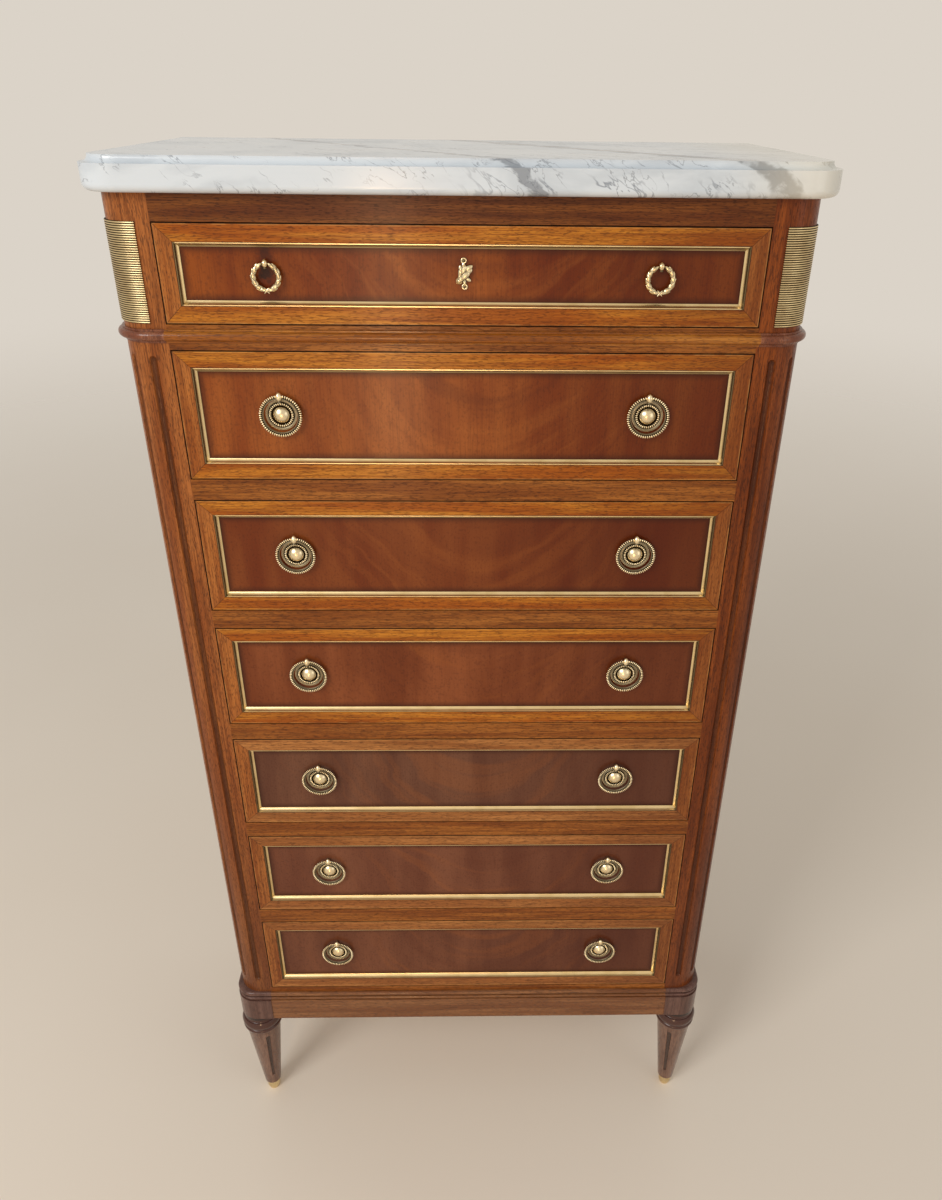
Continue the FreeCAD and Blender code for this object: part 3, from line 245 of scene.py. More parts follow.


# %% [markdown]
# ## Figured veneer on the drawer panels
# Each recessed panel is covered in mahogany veneer, a thin sheet cut where a tree forks. It has a
# fine upright grain, and right of the middle a plume: curved bands that climb towards the centre
# line of the fork. A parabola gives the bands their curve and noise breaks them up. The polish is
# old, so its face is dappled. The panel is painted darker towards the right, as shade away from
# the light on the left, and a painted shadow lies on it along the brass. Round one of the rings
# it is stained.

# %% The veneered panels
LIPPING_TONES = ("733307", "9f5410", "be7824", "361403")
LOW_LIPPING_TONES = ("6e3e1a", "985d2d", "b0743d", "36190b")
STILE_TONES = ("6b340e", "96521f", "ae6a30", "301406")
PANEL_TONES = {1: ("672605", "894413"), 2: ("77340e", "95501f"), 3: ("632608", "773b17"),
               4: ("6c3315", "844725"), 5: ("5a3525", "6c4531"), 6: ("643724", "774831"),
               7: ("5e3422", "72442d")}
STRONG_FIGURE = (1, 2)
PLUME_STRONG, PLUME_FAINT = 0.36, 0.20


def veneer(tree, middle_z, tones, seed, figure):
    """Colour and dapple of a veneer whose plume stands a little right of the middle."""
    dark, warm = [linear(tone) for tone in tones]
    x, _, z = axes(tree)
    wander = stretched(tree, (150, 150, 70), seed)
    bent = calc(tree, "SUBTRACT", x, 55.0 + 30.0 * math.sin(seed * 2.3))
    bent = calc(tree, "ADD", bent, calc(tree, "MULTIPLY", wander, 70.0))
    parabola = calc(tree, "MULTIPLY", calc(tree, "MULTIPLY", bent, bent), -0.006)
    climb = calc(tree, "ADD", calc(tree, "SUBTRACT", z, middle_z), parabola)
    bands = add(tree, "ShaderNodeCombineXYZ", {
        0: calc(tree, "MULTIPLY", climb, 1 / 26.0),
        1: calc(tree, "MULTIPLY", x, 1 / 260.0), 2: seed * 5.3})
    plume = add(tree, "ShaderNodeTexNoise", {
        "Vector": bands.outputs[0], "Scale": 1.0, "Detail": 3.0, "Roughness": 0.5}).outputs["Fac"]
    near = ease(tree, calc(tree, "ABSOLUTE", bent), 70.0, 230.0, 0.85, 0.15)
    broad = stretched(tree, (42, 42, 240), seed + 6)
    fibre = stretched(tree, (1.3, 1.3, 40), seed + 4)
    speck = stretched(tree, (2.4, 2.4, 3.2), seed + 8)
    colour = mix(tree, ease(tree, broad, 0.30, 0.70), dark, warm)
    colour = mix(tree, calc(tree, "MULTIPLY", ease(tree, plume, 0.50, 0.66, 0.0, figure), near),
                 colour, linear("a85f27"))
    colour = mix(tree, calc(tree, "MULTIPLY", ease(tree, plume, 0.46, 0.34, 0.0, figure), near),
                 colour, linear("54210d"))
    colour = mix(tree, ease(tree, fibre, 0.45, 0.66, 0.0, figure * 0.6), colour, linear("46190a"))
    colour = mix(tree, ease(tree, speck, 0.50, 0.70, 0.0, 0.28), colour, linear("3c1609"))
    # Painted shade: the veneer grows darker towards the right, away from the light.
    colour = mix(tree, ease(tree, x, -40.0, 230.0, 0.0, 0.50), colour, linear("431608"))
    return colour, ease(tree, speck, 0.40, 0.70, 0.0, 0.30)


# %% [markdown]
# The lipping is four strips that meet at mitres, so its grain has to turn at each corner. A point
# belongs to an upright strip where it is nearer to the end of the drawer than to its top or foot.
# Its outer arris has been rubbed pale by a century of dusting. Its edges, inside the gap round the
# drawer, are painted nearly black for the shade in that gap, and dirt and painted shade lie
# against the brass. The lipping is painted darker towards the right, as shade away from the light
# on the left. It is browner on the three lowest drawers.

# %% The drawer fronts
HALF_FRONT = 300.0
LIPPING = 17.5
PANEL_EDGE = 22.0
PANEL_Y = FACE_Y + 5.5
DRAWERS = range(1, 8)
TOP_DRAWER = 1
FIRST_LOW_DRAWER = 5
STAINS = ((-197, 1324, 9.0, 0.85), (-196, 1341, 8.0, 0.55))


def drawer_front_finish(number):
    """Veneered panel, with lipping whose grain turns the corner at each mitre."""
    low, high = [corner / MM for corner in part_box("drawer_%d_front" % number)]
    middle_z, half_height = (low.z + high.z) / 2, (high.z - low.z) / 2
    material = new_material("polished_drawer_front_%d" % number)
    tree = material.node_tree
    x, y, z = axes(tree)
    from_side = calc(tree, "SUBTRACT", HALF_FRONT, calc(tree, "ABSOLUTE", x))
    from_end = calc(tree, "SUBTRACT", half_height,
                    calc(tree, "ABSOLUTE", calc(tree, "SUBTRACT", z, middle_z)))
    nearest = calc(tree, "MINIMUM", from_side, from_end)
    stile, stile_pores = mahogany(tree, "Z", STILE_TONES, number + 0.3)
    stile = mix(tree, 0.08 * max(0, number - FIRST_LOW_DRAWER + 1), stile, linear(DULL_BROWN))
    rail_tones = LIPPING_TONES if number < FIRST_LOW_DRAWER else LOW_LIPPING_TONES
    rail, rail_pores = mahogany(tree, "X", rail_tones, number + 0.7)
    is_stile = calc(tree, "LESS_THAN", from_side, from_end)
    lipping = mix(tree, is_stile, rail, stile)
    # Painted shade: the lipping grows darker towards the right, away from the light.
    lipping = mix(tree, ease(tree, x, 120.0, 300.0, 0.0, 0.40), lipping, linear("5c2a0f"))
    mitre = calc(tree, "ABSOLUTE", calc(tree, "SUBTRACT", from_side, from_end))
    lipping = mix(tree, ease(tree, mitre, 0.0, 0.7, 0.75, 0.0), lipping, linear("2c1408"))
    wear = calc(tree, "MULTIPLY", ease(tree, nearest, 0.8, 1.9, 0.45, 0.0),
                ease(tree, stretched(tree, (16, 16, 16), number + 2.2), 0.38, 0.60, 0.2, 1.0))
    lipping = mix(tree, wear, lipping, linear("cf9452"))
    # Painted shade: the faces round the edge of the front, inside the gap, are nearly black.
    lipping = mix(tree, ease(tree, nearest, 0.35, 0.65, 0.9, 0.0), lipping, linear("1c0c05"))
    # Dirt and painted shade: a dark line on the lipping against the brass.
    dirt_and_shade = ease(tree, nearest, LIPPING - 1.1, LIPPING - 0.2, 0.0, 0.8)
    lipping = mix(tree, dirt_and_shade, lipping, linear("2a1408"))
    figure = PLUME_STRONG if number in STRONG_FIGURE else PLUME_FAINT
    panel, dapple = veneer(tree, middle_z, PANEL_TONES[number], number * 1.37, figure)
    shadow = ease(tree, nearest, PANEL_EDGE - 1.0, PANEL_EDGE + 9.0, 0.75, 0.0)
    panel = mix(tree, shadow, panel, linear("331409"))
    if number == TOP_DRAWER:
        blot = stretched(tree, (6, 6, 6), 3.3, 3.0)
        for spot_x, spot_z, reach, strength in STAINS:
            off = calc(tree, "ADD", distance(tree, x, z, (spot_x, spot_z)),
                       calc(tree, "MULTIPLY", calc(tree, "SUBTRACT", blot, 0.5), 16.0))
            panel = mix(tree, ease(tree, off, reach - 5.0, reach + 1.0, strength, 0.0), panel,
                        linear("22120f"))
    is_panel = calc(tree, "GREATER_THAN", y, PANEL_Y - 0.5)
    colour = mix(tree, is_panel, lipping, panel)
    pores = mix(tree, is_panel, mix(tree, is_stile, rail_pores, stile_pores), dapple)
    polish(tree, colour, pores)
    return material


for number in DRAWERS:
    dress("drawer_%d_front" % number, drawer_front_finish(number))
print("drawer fronts dressed")

# %% [markdown]
# ## The carcass
# Posts are cut with their grain upright, rails with it lying down. The short curved lengths of
# moulding at the corners and the blocks above the front legs are a darker wood, and painted
# darker still for shade on their curves, so those materials choose between two timbers by the
# point's place. The flutes of posts and legs hold old polish and dust, and painted shade: they
# are darkened where a point lies nearer to the axis of the rounding, or of the turning, than the
# uncut surface does. The front posts grow browner towards the floor. The right post is painted
# darker than the left, as shade away from the light on the left, and the frieze under the marble
# is painted darker for the marble's shadow as well as its own tone.

# %% Posts, rails and mouldings
POST_TONES = ("64300f", "8a4a1f", "a6632f", "2e1508")
RIGHT_POST_SHADED_TONES = ("4e1f07", "6f330e", "884416", "260e04")
RAIL_TONES = ("5a2a0b", "844817", "a06126", "2e1307")
FRIEZE_SHADED_TONES = ("431b06", "613010", "794419", "220c04")
SIDE_TONES = ("5d2b13", "7c4120", "93552d", "2c1209")
PLINTH_TONES = ("5e3519", "7b4b2a", "90603a", "2e190c")
WAIST_TONES = ("6a330b", "975618", "b4742c", "321505")
WAIST_CORNER_TONES_AND_SHADE = ("5c2e1b", "7a442c", "925c40", "30150c")
BLOCK_TONES_AND_SHADE = ("4a2e26", "5f4137", "725247", "2a1813")
POST_AXIS = (318.0, -132.5)
FLUTE_DARK, FLUTE_PLAIN = 32.2, 34.4
MOULDING_LIMITS = (303, -117)
PLINTH_LIMITS = (304, -107)


def post_flutes(tree):
    """1 inside the flutes of a front post's rounded corner."""
    x, y, _ = axes(tree)
    away = distance(tree, calc(tree, "ABSOLUTE", x), y, POST_AXIS)
    return ease(tree, away, FLUTE_DARK, FLUTE_PLAIN, 0.60, 0.0)


def corner_change(name, limits, seed, tones, corner_tones_and_shade):
    """Boards of one timber with corner pieces beyond an X and in front of a Y, of a darker timber
    with painted shade on their curves.
    """
    inner_x, back_y = limits
    material = new_material(name)
    tree = material.node_tree
    x, y, _ = axes(tree)
    outer = calc(tree, "GREATER_THAN", calc(tree, "ABSOLUTE", x), inner_x)
    front = calc(tree, "LESS_THAN", y, back_y)
    along, along_pores = mahogany(tree, "X", tones, seed)
    aside, aside_pores = mahogany(tree, "Y", tones, seed + 5)
    corner, corner_pores = mahogany(tree, "Z", corner_tones_and_shade, seed + 9)
    is_corner = calc(tree, "MULTIPLY", outer, front)
    colour = mix(tree, is_corner, mix(tree, outer, along, aside), corner)
    pores = mix(tree, is_corner, mix(tree, outer, along_pores, aside_pores), corner_pores)
    polish(tree, colour, pores, 0.26, 0.35)
    return material


dress("front_post_left",
      solid_mahogany("post_mahogany_left", "Z", POST_TONES, 11, post_flutes, 0.55))
# The right post is painted darker than the left, as shade away from the light on the left.
dress("front_post_right",
      solid_mahogany("post_mahogany_right_shaded", "Z", RIGHT_POST_SHADED_TONES, 14, post_flutes, 0.35))
dress("rear_posts", solid_mahogany("rear_post_mahogany", "Z", SIDE_TONES, 17))
dress("side_rails", solid_mahogany("side_rail_mahogany", "Y", SIDE_TONES, 20))
dress("side_panels", solid_mahogany("side_panel_veneer", "Z", SIDE_TONES, 41))
# The frieze is painted darker than the rails, partly as its own tone and partly for the shadow of
# the marble above it.
dress("top_frame", solid_mahogany("frieze_mahogany_shaded", "X", FRIEZE_SHADED_TONES, 23))
dress("drawer_rails", solid_mahogany("drawer_rail_mahogany", "X", RAIL_TONES, 26))
# Corner pieces are a darker timber, painted darker still for shade on their curves.
dress("waist_moulding", corner_change("waist_moulding_mahogany", MOULDING_LIMITS, 29, WAIST_TONES,
                                      WAIST_CORNER_TONES_AND_SHADE))
dress("base_moulding", corner_change("base_moulding_mahogany", MOULDING_LIMITS, 32, PLINTH_TONES,
                                     BLOCK_TONES_AND_SHADE))
dress("plinth", corner_change("plinth_mahogany", PLINTH_LIMITS, 35, PLINTH_TONES, BLOCK_TONES_AND_SHADE))

# %% [markdown]
# The legs are turned from darker mahogany. Their collars, which the lathe left smooth, have kept
# a thick dark polish, and the neck under the block is painted nearly black for the shade the
# block casts into it, while the tapering shafts have been rubbed back to brown.

# %% Turned legs
LEG_TONES = ("54352a", "71503f", "866452", "2c1a13")
SABOT_TOP, TAPER_TOP, NECK_FOOT = 22.0, 170.5, 199.0
FOOT_RADIUS, HEAD_RADIUS = 12.8, 27.0
LEG_X, LEGS_MIDDLE_Y, LEG_REACH_Y = 332.5, 5.0, 141.5


def leg_axis_distance(tree):
    """How far a point lies from the axis of its own leg, and its height."""
    x, y, z = axes(tree)
    aside = calc(tree, "SUBTRACT", calc(tree, "ABSOLUTE", x), LEG_X)
    back = calc(tree, "SUBTRACT",
                calc(tree, "ABSOLUTE", calc(tree, "SUBTRACT", y, LEGS_MIDDLE_Y)), LEG_REACH_Y)
    return distance(tree, aside, back), z


def leg_flutes(tree):
    """1 inside the flutes of a leg's taper."""
    away, z = leg_axis_distance(tree)
    radius = add(tree, "ShaderNodeMapRange", {
        "Value": z, "From Min": SABOT_TOP, "From Max": TAPER_TOP, "To Min": FOOT_RADIUS,
        "To Max": HEAD_RADIUS}).outputs[0]
    sunk = ease(tree, calc(tree, "SUBTRACT", radius, away), 0.4, 1.4, 0.0, 0.8)
    return calc(tree, "MULTIPLY", sunk, calc(tree, "LESS_THAN", z, TAPER_TOP - 4.0))


leg_material = new_material("leg_mahogany")
tree = leg_material.node_tree
shaft, leg_pores = mahogany(tree, "Z", LEG_TONES, 38)
collar = ease(tree, axes(tree)[2], TAPER_TOP - 1.5, TAPER_TOP + 0.5)
shaft = mix(tree, collar, shaft, linear("4c2f27"))
# Painted shade: the neck under the block is nearly black.
neck_shade = ease(tree, axes(tree)[2], NECK_FOOT - 2.0, NECK_FOOT + 2.0, 0.0, 0.8)
shaft = mix(tree, neck_shade, shaft, linear("1c0f0b"))
# The flutes are darkened for dust and painted shade.
shaft = mix(tree, leg_flutes(tree), shaft, linear("2c1a14"))
polish(tree, shaft, leg_pores, 0.24, 0.5)
dress("legs", leg_material)

# %% [markdown]
# ## Oak inside
# Drawer sides, bottoms and runners are plain oak, planed and waxed. It is paler and duller than
# the outside, with straight grain. The sides of a drawer run front to back and its back and
# bottom run across, so the grain depends on the point's place here too.

# %% Waxed oak
OAK_TONES = ("9c7443", "bb935c", "cda974", "6f4c2a")
BOX_INNER_X = 289


def oak(name, seed, side_x=None, grain="X"):
    """Waxed oak; beyond side_x the grain runs front to back."""
    material = new_material(name)
    tree = material.node_tree
    colour, pores = mahogany(tree, grain, OAK_TONES, seed)
    if side_x:
        aside, aside_pores = mahogany(tree, "Y", OAK_TONES, seed + 3)
        outer = calc(tree, "GREATER_THAN", calc(tree, "ABSOLUTE", axes(tree)[0]), side_x)
        colour = mix(tree, outer, colour, aside)
        pores = mix(tree, outer, pores, aside_pores)
    polish(tree, colour, pores, roughness=0.55, coat=0.0)
    return material


for number in DRAWERS:
    dress("drawer_%d_box" % number,
          oak("waxed_oak_drawer_%d" % number, number * 2.1, BOX_INNER_X))
dress("drawer_runners", oak("waxed_oak_runners", 45, grain="Y"))
dress("bottom_board", oak("waxed_oak_bottom", 48))
dress("back_panel", oak("stained_oak_back", 51, grain="Z"))

# %% [markdown]
# ## White marble
# The top is a slab of white marble, polished, with grey veins that all lean one way, down to the
# right. A vein is where noise crosses one value, so the distance from that value gives a thin
# line that wanders; measuring the noise across and along the lean draws it out. Broad grey
# streaks cross the right half twice, a net of fine veins lies between them, and only a few
# hair-thin ones reach the left. The right end has yellowed a little.

# %% The marble slab
def vein(tree, across, along, sizes, seed, width):
    """A thin wandering line drawn out along the lean, 1 in its middle and 0 beside it."""
    place = add(tree, "ShaderNodeCombineXYZ", {
        0: calc(tree, "MULTIPLY", across, 1 / sizes[0]),
        1: calc(tree, "MULTIPLY", along, 1 / sizes[1]), 2: seed * 3.1})
    field = add(tree, "ShaderNodeTexNoise", {
        "Vector": place.outputs[0], "Scale": 1.0, "Detail": 4.0, "Roughness": 0.55,
        "Distortion": 0.35}).outputs["Fac"]
    off = calc(tree, "ABSOLUTE", calc(tree, "SUBTRACT", field, 0.5))
    return ease(tree, off, 0.0, width, 1.0, 0.0)


marble = new_material("polished_white_marble")
tree = marble.node_tree
x, y, z = axes(tree)
cloud = stretched(tree, (90, 70, 40), 2.0, 4.0, 0.6)
stone = mix(tree, ease(tree, cloud, 0.44, 0.68, 0.0, 0.55), linear("d3dadf"), linear("b5bdc4"))
lean = calc(tree, "ADD", x, calc(tree, "ADD", calc(tree, "MULTIPLY", z, 1.1),
                                 calc(tree, "MULTIPLY", y, 0.8)))
drawn = calc(tree, "SUBTRACT", z, calc(tree, "MULTIPLY", x, 0.5))
ragged = calc(tree, "MULTIPLY", stretched(tree, (34, 34, 22), 7.7, 4.0, 0.8), 46.0)
torn = calc(tree, "ADD", lean, ragged)
rightness = ease(tree, x, -30.0, 60.0)
net = vein(tree, lean, drawn, (36.0, 90.0), 4.3, 0.022)
calm = ease(tree, stretched(tree, (60, 60, 40), 5.1), 0.40, 0.56)
net = calc(tree, "MULTIPLY", net, calc(tree, "MULTIPLY", rightness, calm))
hair = calc(tree, "MULTIPLY", vein(tree, lean, drawn, (20.0, 34.0), 9.1, 0.018),
            ease(tree, stretched(tree, (45, 60, 40), 8.4), 0.46, 0.58, 0.0, 0.85))
stone = mix(tree, hair, stone, linear("8f959c"))
stone = mix(tree, calc(tree, "MULTIPLY", net, 0.80), stone, linear("7f868f"))
streak_break = ease(tree, stretched(tree, (14, 14, 10), 6.6, 3.0), 0.34, 0.50, 0.45, 1.0)
STREAKS = ((1493.0, 10.0, 0.70), (1728.0, 21.0, 0.78))
for middle, half_width, strength in STREAKS:
    off = calc(tree, "ABSOLUTE", calc(tree, "SUBTRACT", torn, middle))
    streak = calc(tree, "MULTIPLY", ease(tree, off, half_width * 0.55, half_width, strength, 0.0),
                  streak_break)
    stone = mix(tree, streak, stone, linear("757a81"))
stone = mix(tree, ease(tree, x, 230.0, 350.0, 0.0, 0.45), stone, linear("e6d9ba"))
shader = add(tree, "ShaderNodeBsdfPrincipled", {
    "Base Color": stone, "Roughness": ease(tree, cloud, 0.3, 0.7, 0.14, 0.22), "IOR": 1.5,
    "Subsurface Weight": 0.06, "Subsurface Radius": [4 * MM] * 3,
    "Subsurface Scale": 1.0})
add(tree, "ShaderNodeOutputMaterial", {"Surface": shader.outputs[0]})
dress("marble_top", marble)

# %% [markdown]
# ## Brass
# All the brass is old: rubbed pale where hands reach it and brown where they do not. On the cast
# pieces an attribute called patina, written when they are modelled, runs from 0 on the high spots
# to 1 in the hollows. The other masks come from the point and the way its face looks: the drawn
# strips have dark patina at the panel, and painted shade along the outer half of the upright ones
# and on their faces that look down, and the pressed plates are dark in the grooves between their
# ribs.

# %% Brass finishes
RIB_FOOT, RIB_HEAD, RIB_COUNT = 1275.0, 1371.0, 44
PIT_DEPTH = 0.02


def cast_hollows(tree):
    """The patina written on a cast piece."""
    return add(tree, "ShaderNodeAttribute", attribute_name="patina").outputs["Fac"]


def strip_patina_and_shade(tree):
    """Dark patina at the panel; painted shade on the outer half of upright strips and where faces
    look down.
    """
    seat = ease(tree, axes(tree)[1], PANEL_Y - 0.9, PANEL_Y - 0.1, 0.0, 0.85)
    facing = add(tree, "ShaderNodeNewGeometry").outputs["Normal"]
    upward = add(tree, "ShaderNodeSeparateXYZ", {0: facing}).outputs[2]
    beside = calc(tree, "ABSOLUTE", axes(tree)[0])
    # Painted shade on the outer half of upright strips.
    outer = ease(tree, beside, HALF_FRONT - LIPPING - 2.6, HALF_FRONT - LIPPING - 1.6, 0.0, 0.8)
    # Painted shade on faces that look down.
    below = ease(tree, upward, -0.6, -0.1, 0.5, 0.0)
    return calc(tree, "MAXIMUM", calc(tree, "MAXIMUM", seat, outer), below)


def rib_hollows(tree):
    """Dark in the groove between one rib and the next."""
    pitch = (RIB_HEAD - RIB_FOOT) / RIB_COUNT
    z = calc(tree, "MULTIPLY", calc(tree, "SUBTRACT", axes(tree)[2], RIB_FOOT), 1 / pitch)
    off = calc(tree, "ABSOLUTE", calc(tree, "SUBTRACT", calc(tree, "FRACT", z), 0.5))
    return ease(tree, off, 0.16, 0.38)


def brass(name, bright, dull, seed, roughness, patina_and_shade=None, pitting=0.12):
    """Rubbed brass; patina_and_shade masks its patina, and on drawn strips painted shade; pitting
    is the strength of its fine bumps.
    """
    material = new_material(name)
    tree = material.node_tree
    smear = stretched(tree, (22, 22, 22), seed)
    specks = stretched(tree, (2.0, 2.0, 2.0), seed + 1)
    colour = mix(tree, ease(tree, smear, 0.38, 0.70, 0.0, 0.5), linear(bright), linear(dull))
    rough = ease(tree, specks, 0.3, 0.7, roughness, roughness + 0.05)
    if patina_and_shade:
        patina_and_shade_mask = patina_and_shade(tree)
        # Patina, and on the drawn strips painted shade, darkens the brass.
        colour = mix(tree, patina_and_shade_mask, colour, linear("22170a"))
        rough = calc(tree, "ADD", rough, calc(tree, "MULTIPLY", patina_and_shade_mask, 0.25))
    bump = add(tree, "ShaderNodeBump", {
        "Height": specks, "Distance": PIT_DEPTH * MM, "Strength": pitting})
    shader = add(tree, "ShaderNodeBsdfPrincipled", {
        "Base Color": colour, "Metallic": 1.0, "Roughness": rough, "Normal": bump.outputs[0]})
    add(tree, "ShaderNodeOutputMaterial", {"Surface": shader.outputs[0]})
    return material


drawn_brass = brass("drawn_brass", "f0d6a2", "d4b67c", 3, 0.28, strip_patina_and_shade, 0.02)
pressed_brass = brass("pressed_ribbed_brass", "e2cb9a", "b4966a", 5, 0.32, rib_hollows)
cast_brass = brass("cast_aged_brass", "f4e4be", "dac296", 8, 0.28, cast_hollows)
gilt_brass = brass("cast_gilt_brass", "f4e2b8", "d8bc8c", 9, 0.22, cast_hollows)
sabot_brass = brass("cast_sabot_brass", "e6d2a4", "c2a474", 6, 0.26)
for number in DRAWERS:
    dress("drawer_%d_brass_frame" % number, drawn_brass)
dress("ribbed_plates", pressed_brass)
dress("sabots", sabot_brass)

# %% [markdown]
# ## Turning round shapes
# Rosettes, rings and knuckles are turned shapes. They could be built from primitives with
# booleans, but a lathe is closer to how the pattern for a casting is made: a plane is merged to
# one point, the point is extruded along the profile, and the profile is spun about an axis.

# %% A lathe made of operators
def lathe(name, profile, sides, forward=True, start=0.0):
    """Spins (radius, height) points in millimetres, about -Y if forward and about Z if not."""
    axis = Vector((0, -1, 0)) if forward else Vector((0, 0, 1))
    outward = Vector((math.sin(start), 0, math.cos(start))) if forward else Vector((1, 0, 0))
    points = [(outward * radius + axis * height) * MM for radius, height in profile]
    bpy.ops.object.select_all(action="DESELECT")
    bpy.ops.mesh.primitive_plane_add(size=MM)
    piece = bpy.context.object
    piece.name = name
    bpy.ops.object.mode_set(mode="EDIT")
    bpy.ops.mesh.merge(type="CENTER")
    bpy.ops.transform.translate(value=points[0])
    for here, there in zip(points, points[1:]):
        bpy.ops.mesh.extrude_vertices_move(TRANSFORM_OT_translate={"value": there - here})
    bpy.ops.mesh.select_all(action="SELECT")
    bpy.ops.mesh.spin(steps=sides, angle=2 * math.pi - 2 * start, center=(0, 0, 0), axis=axis)
    bpy.ops.mesh.select_all(action="SELECT")
    bpy.ops.mesh.remove_doubles(threshold=0.01 * MM)
    if start:
        bpy.ops.mesh.fill_holes(sides=0)
    bpy.ops.mesh.select_all(action="SELECT")
    bpy.ops.mesh.normals_make_consistent(inside=False)
    bpy.ops.object.mode_set(mode="OBJECT")
    bpy.ops.object.shade_smooth_by_angle(angle=math.radians(40))
    return piece


def copied(master, name, matrix):
    """A copy of a piece with its own mesh, moved inside that mesh."""
    piece = master.copy()
    piece.data = master.data.copy()
    piece.name = name
    piece.data.transform(matrix)
    bpy.context.scene.collection.objects.link(piece)
    return piece


def joined(name, pieces):
    """Several pieces as one object."""
    bpy.ops.object.select_all(action="DESELECT")
    for piece in pieces:
        piece.select_set(True)
    bpy.context.view_layer.objects.active = pieces[0]
    bpy.ops.object.join()
    pieces[0].name = name
    return pieces[0]


def moved(x, y, z):
    """A move by millimetres."""
    return Matrix.Translation(Vector((x, y, z)) * MM)


def spun(angle, axis):
    """A turn about one axis through the origin."""
    return Matrix.Rotation(angle, 4, axis)


# %% [markdown]
# A profile's curves are arcs. `arc` gives the points of one, and `mark_patina` writes how dark a
# vertex is from its place, by a rule that each piece brings.

# %% Arcs and patina
def arc(start, end, bulge, steps):
    """Points after start up to end along an arc that bows to the left by a share of its chord."""
    chord = Vector((end[0] - start[0], end[1] - start[1]))
    half_turn = 2 * math.atan(2 * bulge)
    radius = chord.length / 2 / math.sin(half_turn)
    left = Vector((-chord.y, chord.x)).normalized()
    centre = Vector(start) + chord / 2 - left * radius * math.cos(half_turn)
    from_centre = Vector(start) - centre
    return [tuple(centre + Matrix.Rotation(-2 * half_turn * step / steps, 2) @ from_centre)
            for step in range(1, steps + 1)]


def mark_patina(piece, rule):
    """Writes the patina of each vertex from its place, in millimetres."""
    layer = piece.data.attributes.new("patina", "FLOAT", "POINT")
    for vertex, value in zip(piece.data.vertices, layer.data):
        value.value = max(0.0, min(1.0, rule(vertex.co / MM)))


# %% [markdown]
# Beads are what the eye catches on these pulls. One small sphere is stretched a little and
# copied round a circle, a short gap from the next, with dark patina low on its sides. It has only
# 48 faces, because there are over a thousand of them. Real rings of this kind carry about 64
# beads and rosettes about 40; here there are 54 and 34, so that they read one by one.

# %% A circle of beads
def beads(name, radius, count, bead_radius, height, stretch, start=0.0):
    """A circle of small beads facing forward, each stretched outwards from the middle."""
    bpy.ops.object.select_all(action="DESELECT")
    bpy.ops.mesh.primitive_uv_sphere_add(segments=8, ring_count=6, radius=bead_radius * MM)
    bead = bpy.context.object
    bpy.ops.object.mode_set(mode="EDIT")
    bpy.ops.transform.resize(value=(1.0, 1.1, stretch))
    bpy.ops.object.mode_set(mode="OBJECT")
    bpy.ops.object.shade_smooth()
    mark_patina(bead, lambda co: 1.3 * (0.22 + co.y / bead_radius))
    bead.data.transform(moved(0, -height, radius))
    span = 2 * math.pi - 2 * start
    steps = count if not start else count - 1
    row = [copied(bead, "%s_%d" % (name, step), spun(start + span * step / steps, "Y"))
           for step in range(count)]
    bpy.data.objects.remove(bead)
    return joined(name, row)


# %% [markdown]
# ## The beaded ring pulls
# Each tall drawer has two. A round plate with a shallow dish carries a row of beads and a dome,
# and a turned knuckle above the dome holds the ring by a pin. The ring is a flat band with beads
# along its outer edge. One pull is modelled at the origin and copied to every drawer.

# %% Rosette plate
FORWARD = 5.6
RING_OUTER = 23.1
RING_INNER = 17.7
RING_RISE = (RING_OUTER + RING_INNER) / 2

profile = [(0.0, 0.0), (16.7, 0.0), (16.7, 1.3), (16.3, 1.7)]
profile += arc(profile[-1], (13.8, 0.9), -0.14, 5)
profile += [(13.5, 1.2), (10.9, 1.2), (10.5, 0.7), (9.1, 0.7), (8.9, 1.4)]
DOME_REACH, DOME_FOOT, DOME_TOP, DOME_STEPS = 8.9, 1.4, 6.2, 12
dome_rise = DOME_TOP - DOME_FOOT
dome_ball = (DOME_REACH ** 2 + dome_rise ** 2) / (2 * dome_rise)
for step in range(1, DOME_STEPS + 1):
    reach = math.asin(DOME_REACH / dome_ball) * (1 - step / DOME_STEPS)
    profile.append((dome_ball * math.sin(reach), DOME_TOP - dome_ball * (1 - math.cos(reach))))
profile[-1] = (0.0, DOME_TOP)
plate = lathe("rosette_plate", profile, 64)


def rosette_patina(co):
    """Dark round the dome and under the beads, brown in the dish, bright on the rim."""
    reach = math.hypot(co.x, co.z)
    if reach < 8.8:
        return 0.0
    if reach < 13.9:
        return 1.0
    return 0.70 if reach < 16.0 else 0.05


mark_patina(plate, rosette_patina)
rosette = joined("rosette", [plate, beads("rosette_beads", 12.0, 34, 0.95, 1.7, 1.55)])
print("rosette faces", len(rosette.data.polygons))

# %% [markdown]
# The knuckle is a small turned olive, and behind it a stem runs through the drawer front to a
# square nut on the inside. The nut starts as a cube and is flattened and bevelled.

# %% Knuckle, stem and nut
NUT_SIZE, NUT_THICK, CORE_THICK = 9.0, 3.0, 14.5


def knuckle(name, belly, tall):
    """The turned olive that holds a ring, pointed at its top, at its pivot."""
    half = tall / 2
    outline = [(0.0, -half), (belly * 0.55, -half), (belly * 0.60, -half * 0.86),
               (belly * 0.46, -half * 0.70)]
    outline += arc(outline[-1], (0.0, half), -0.74 * belly / tall, 12)
    post = lathe(name, outline, 20, forward=False)
    mark_patina(post, lambda co: 0.8 if co.z < -half * 0.6 else 0.5 * (co.y > 0.5))
    return post


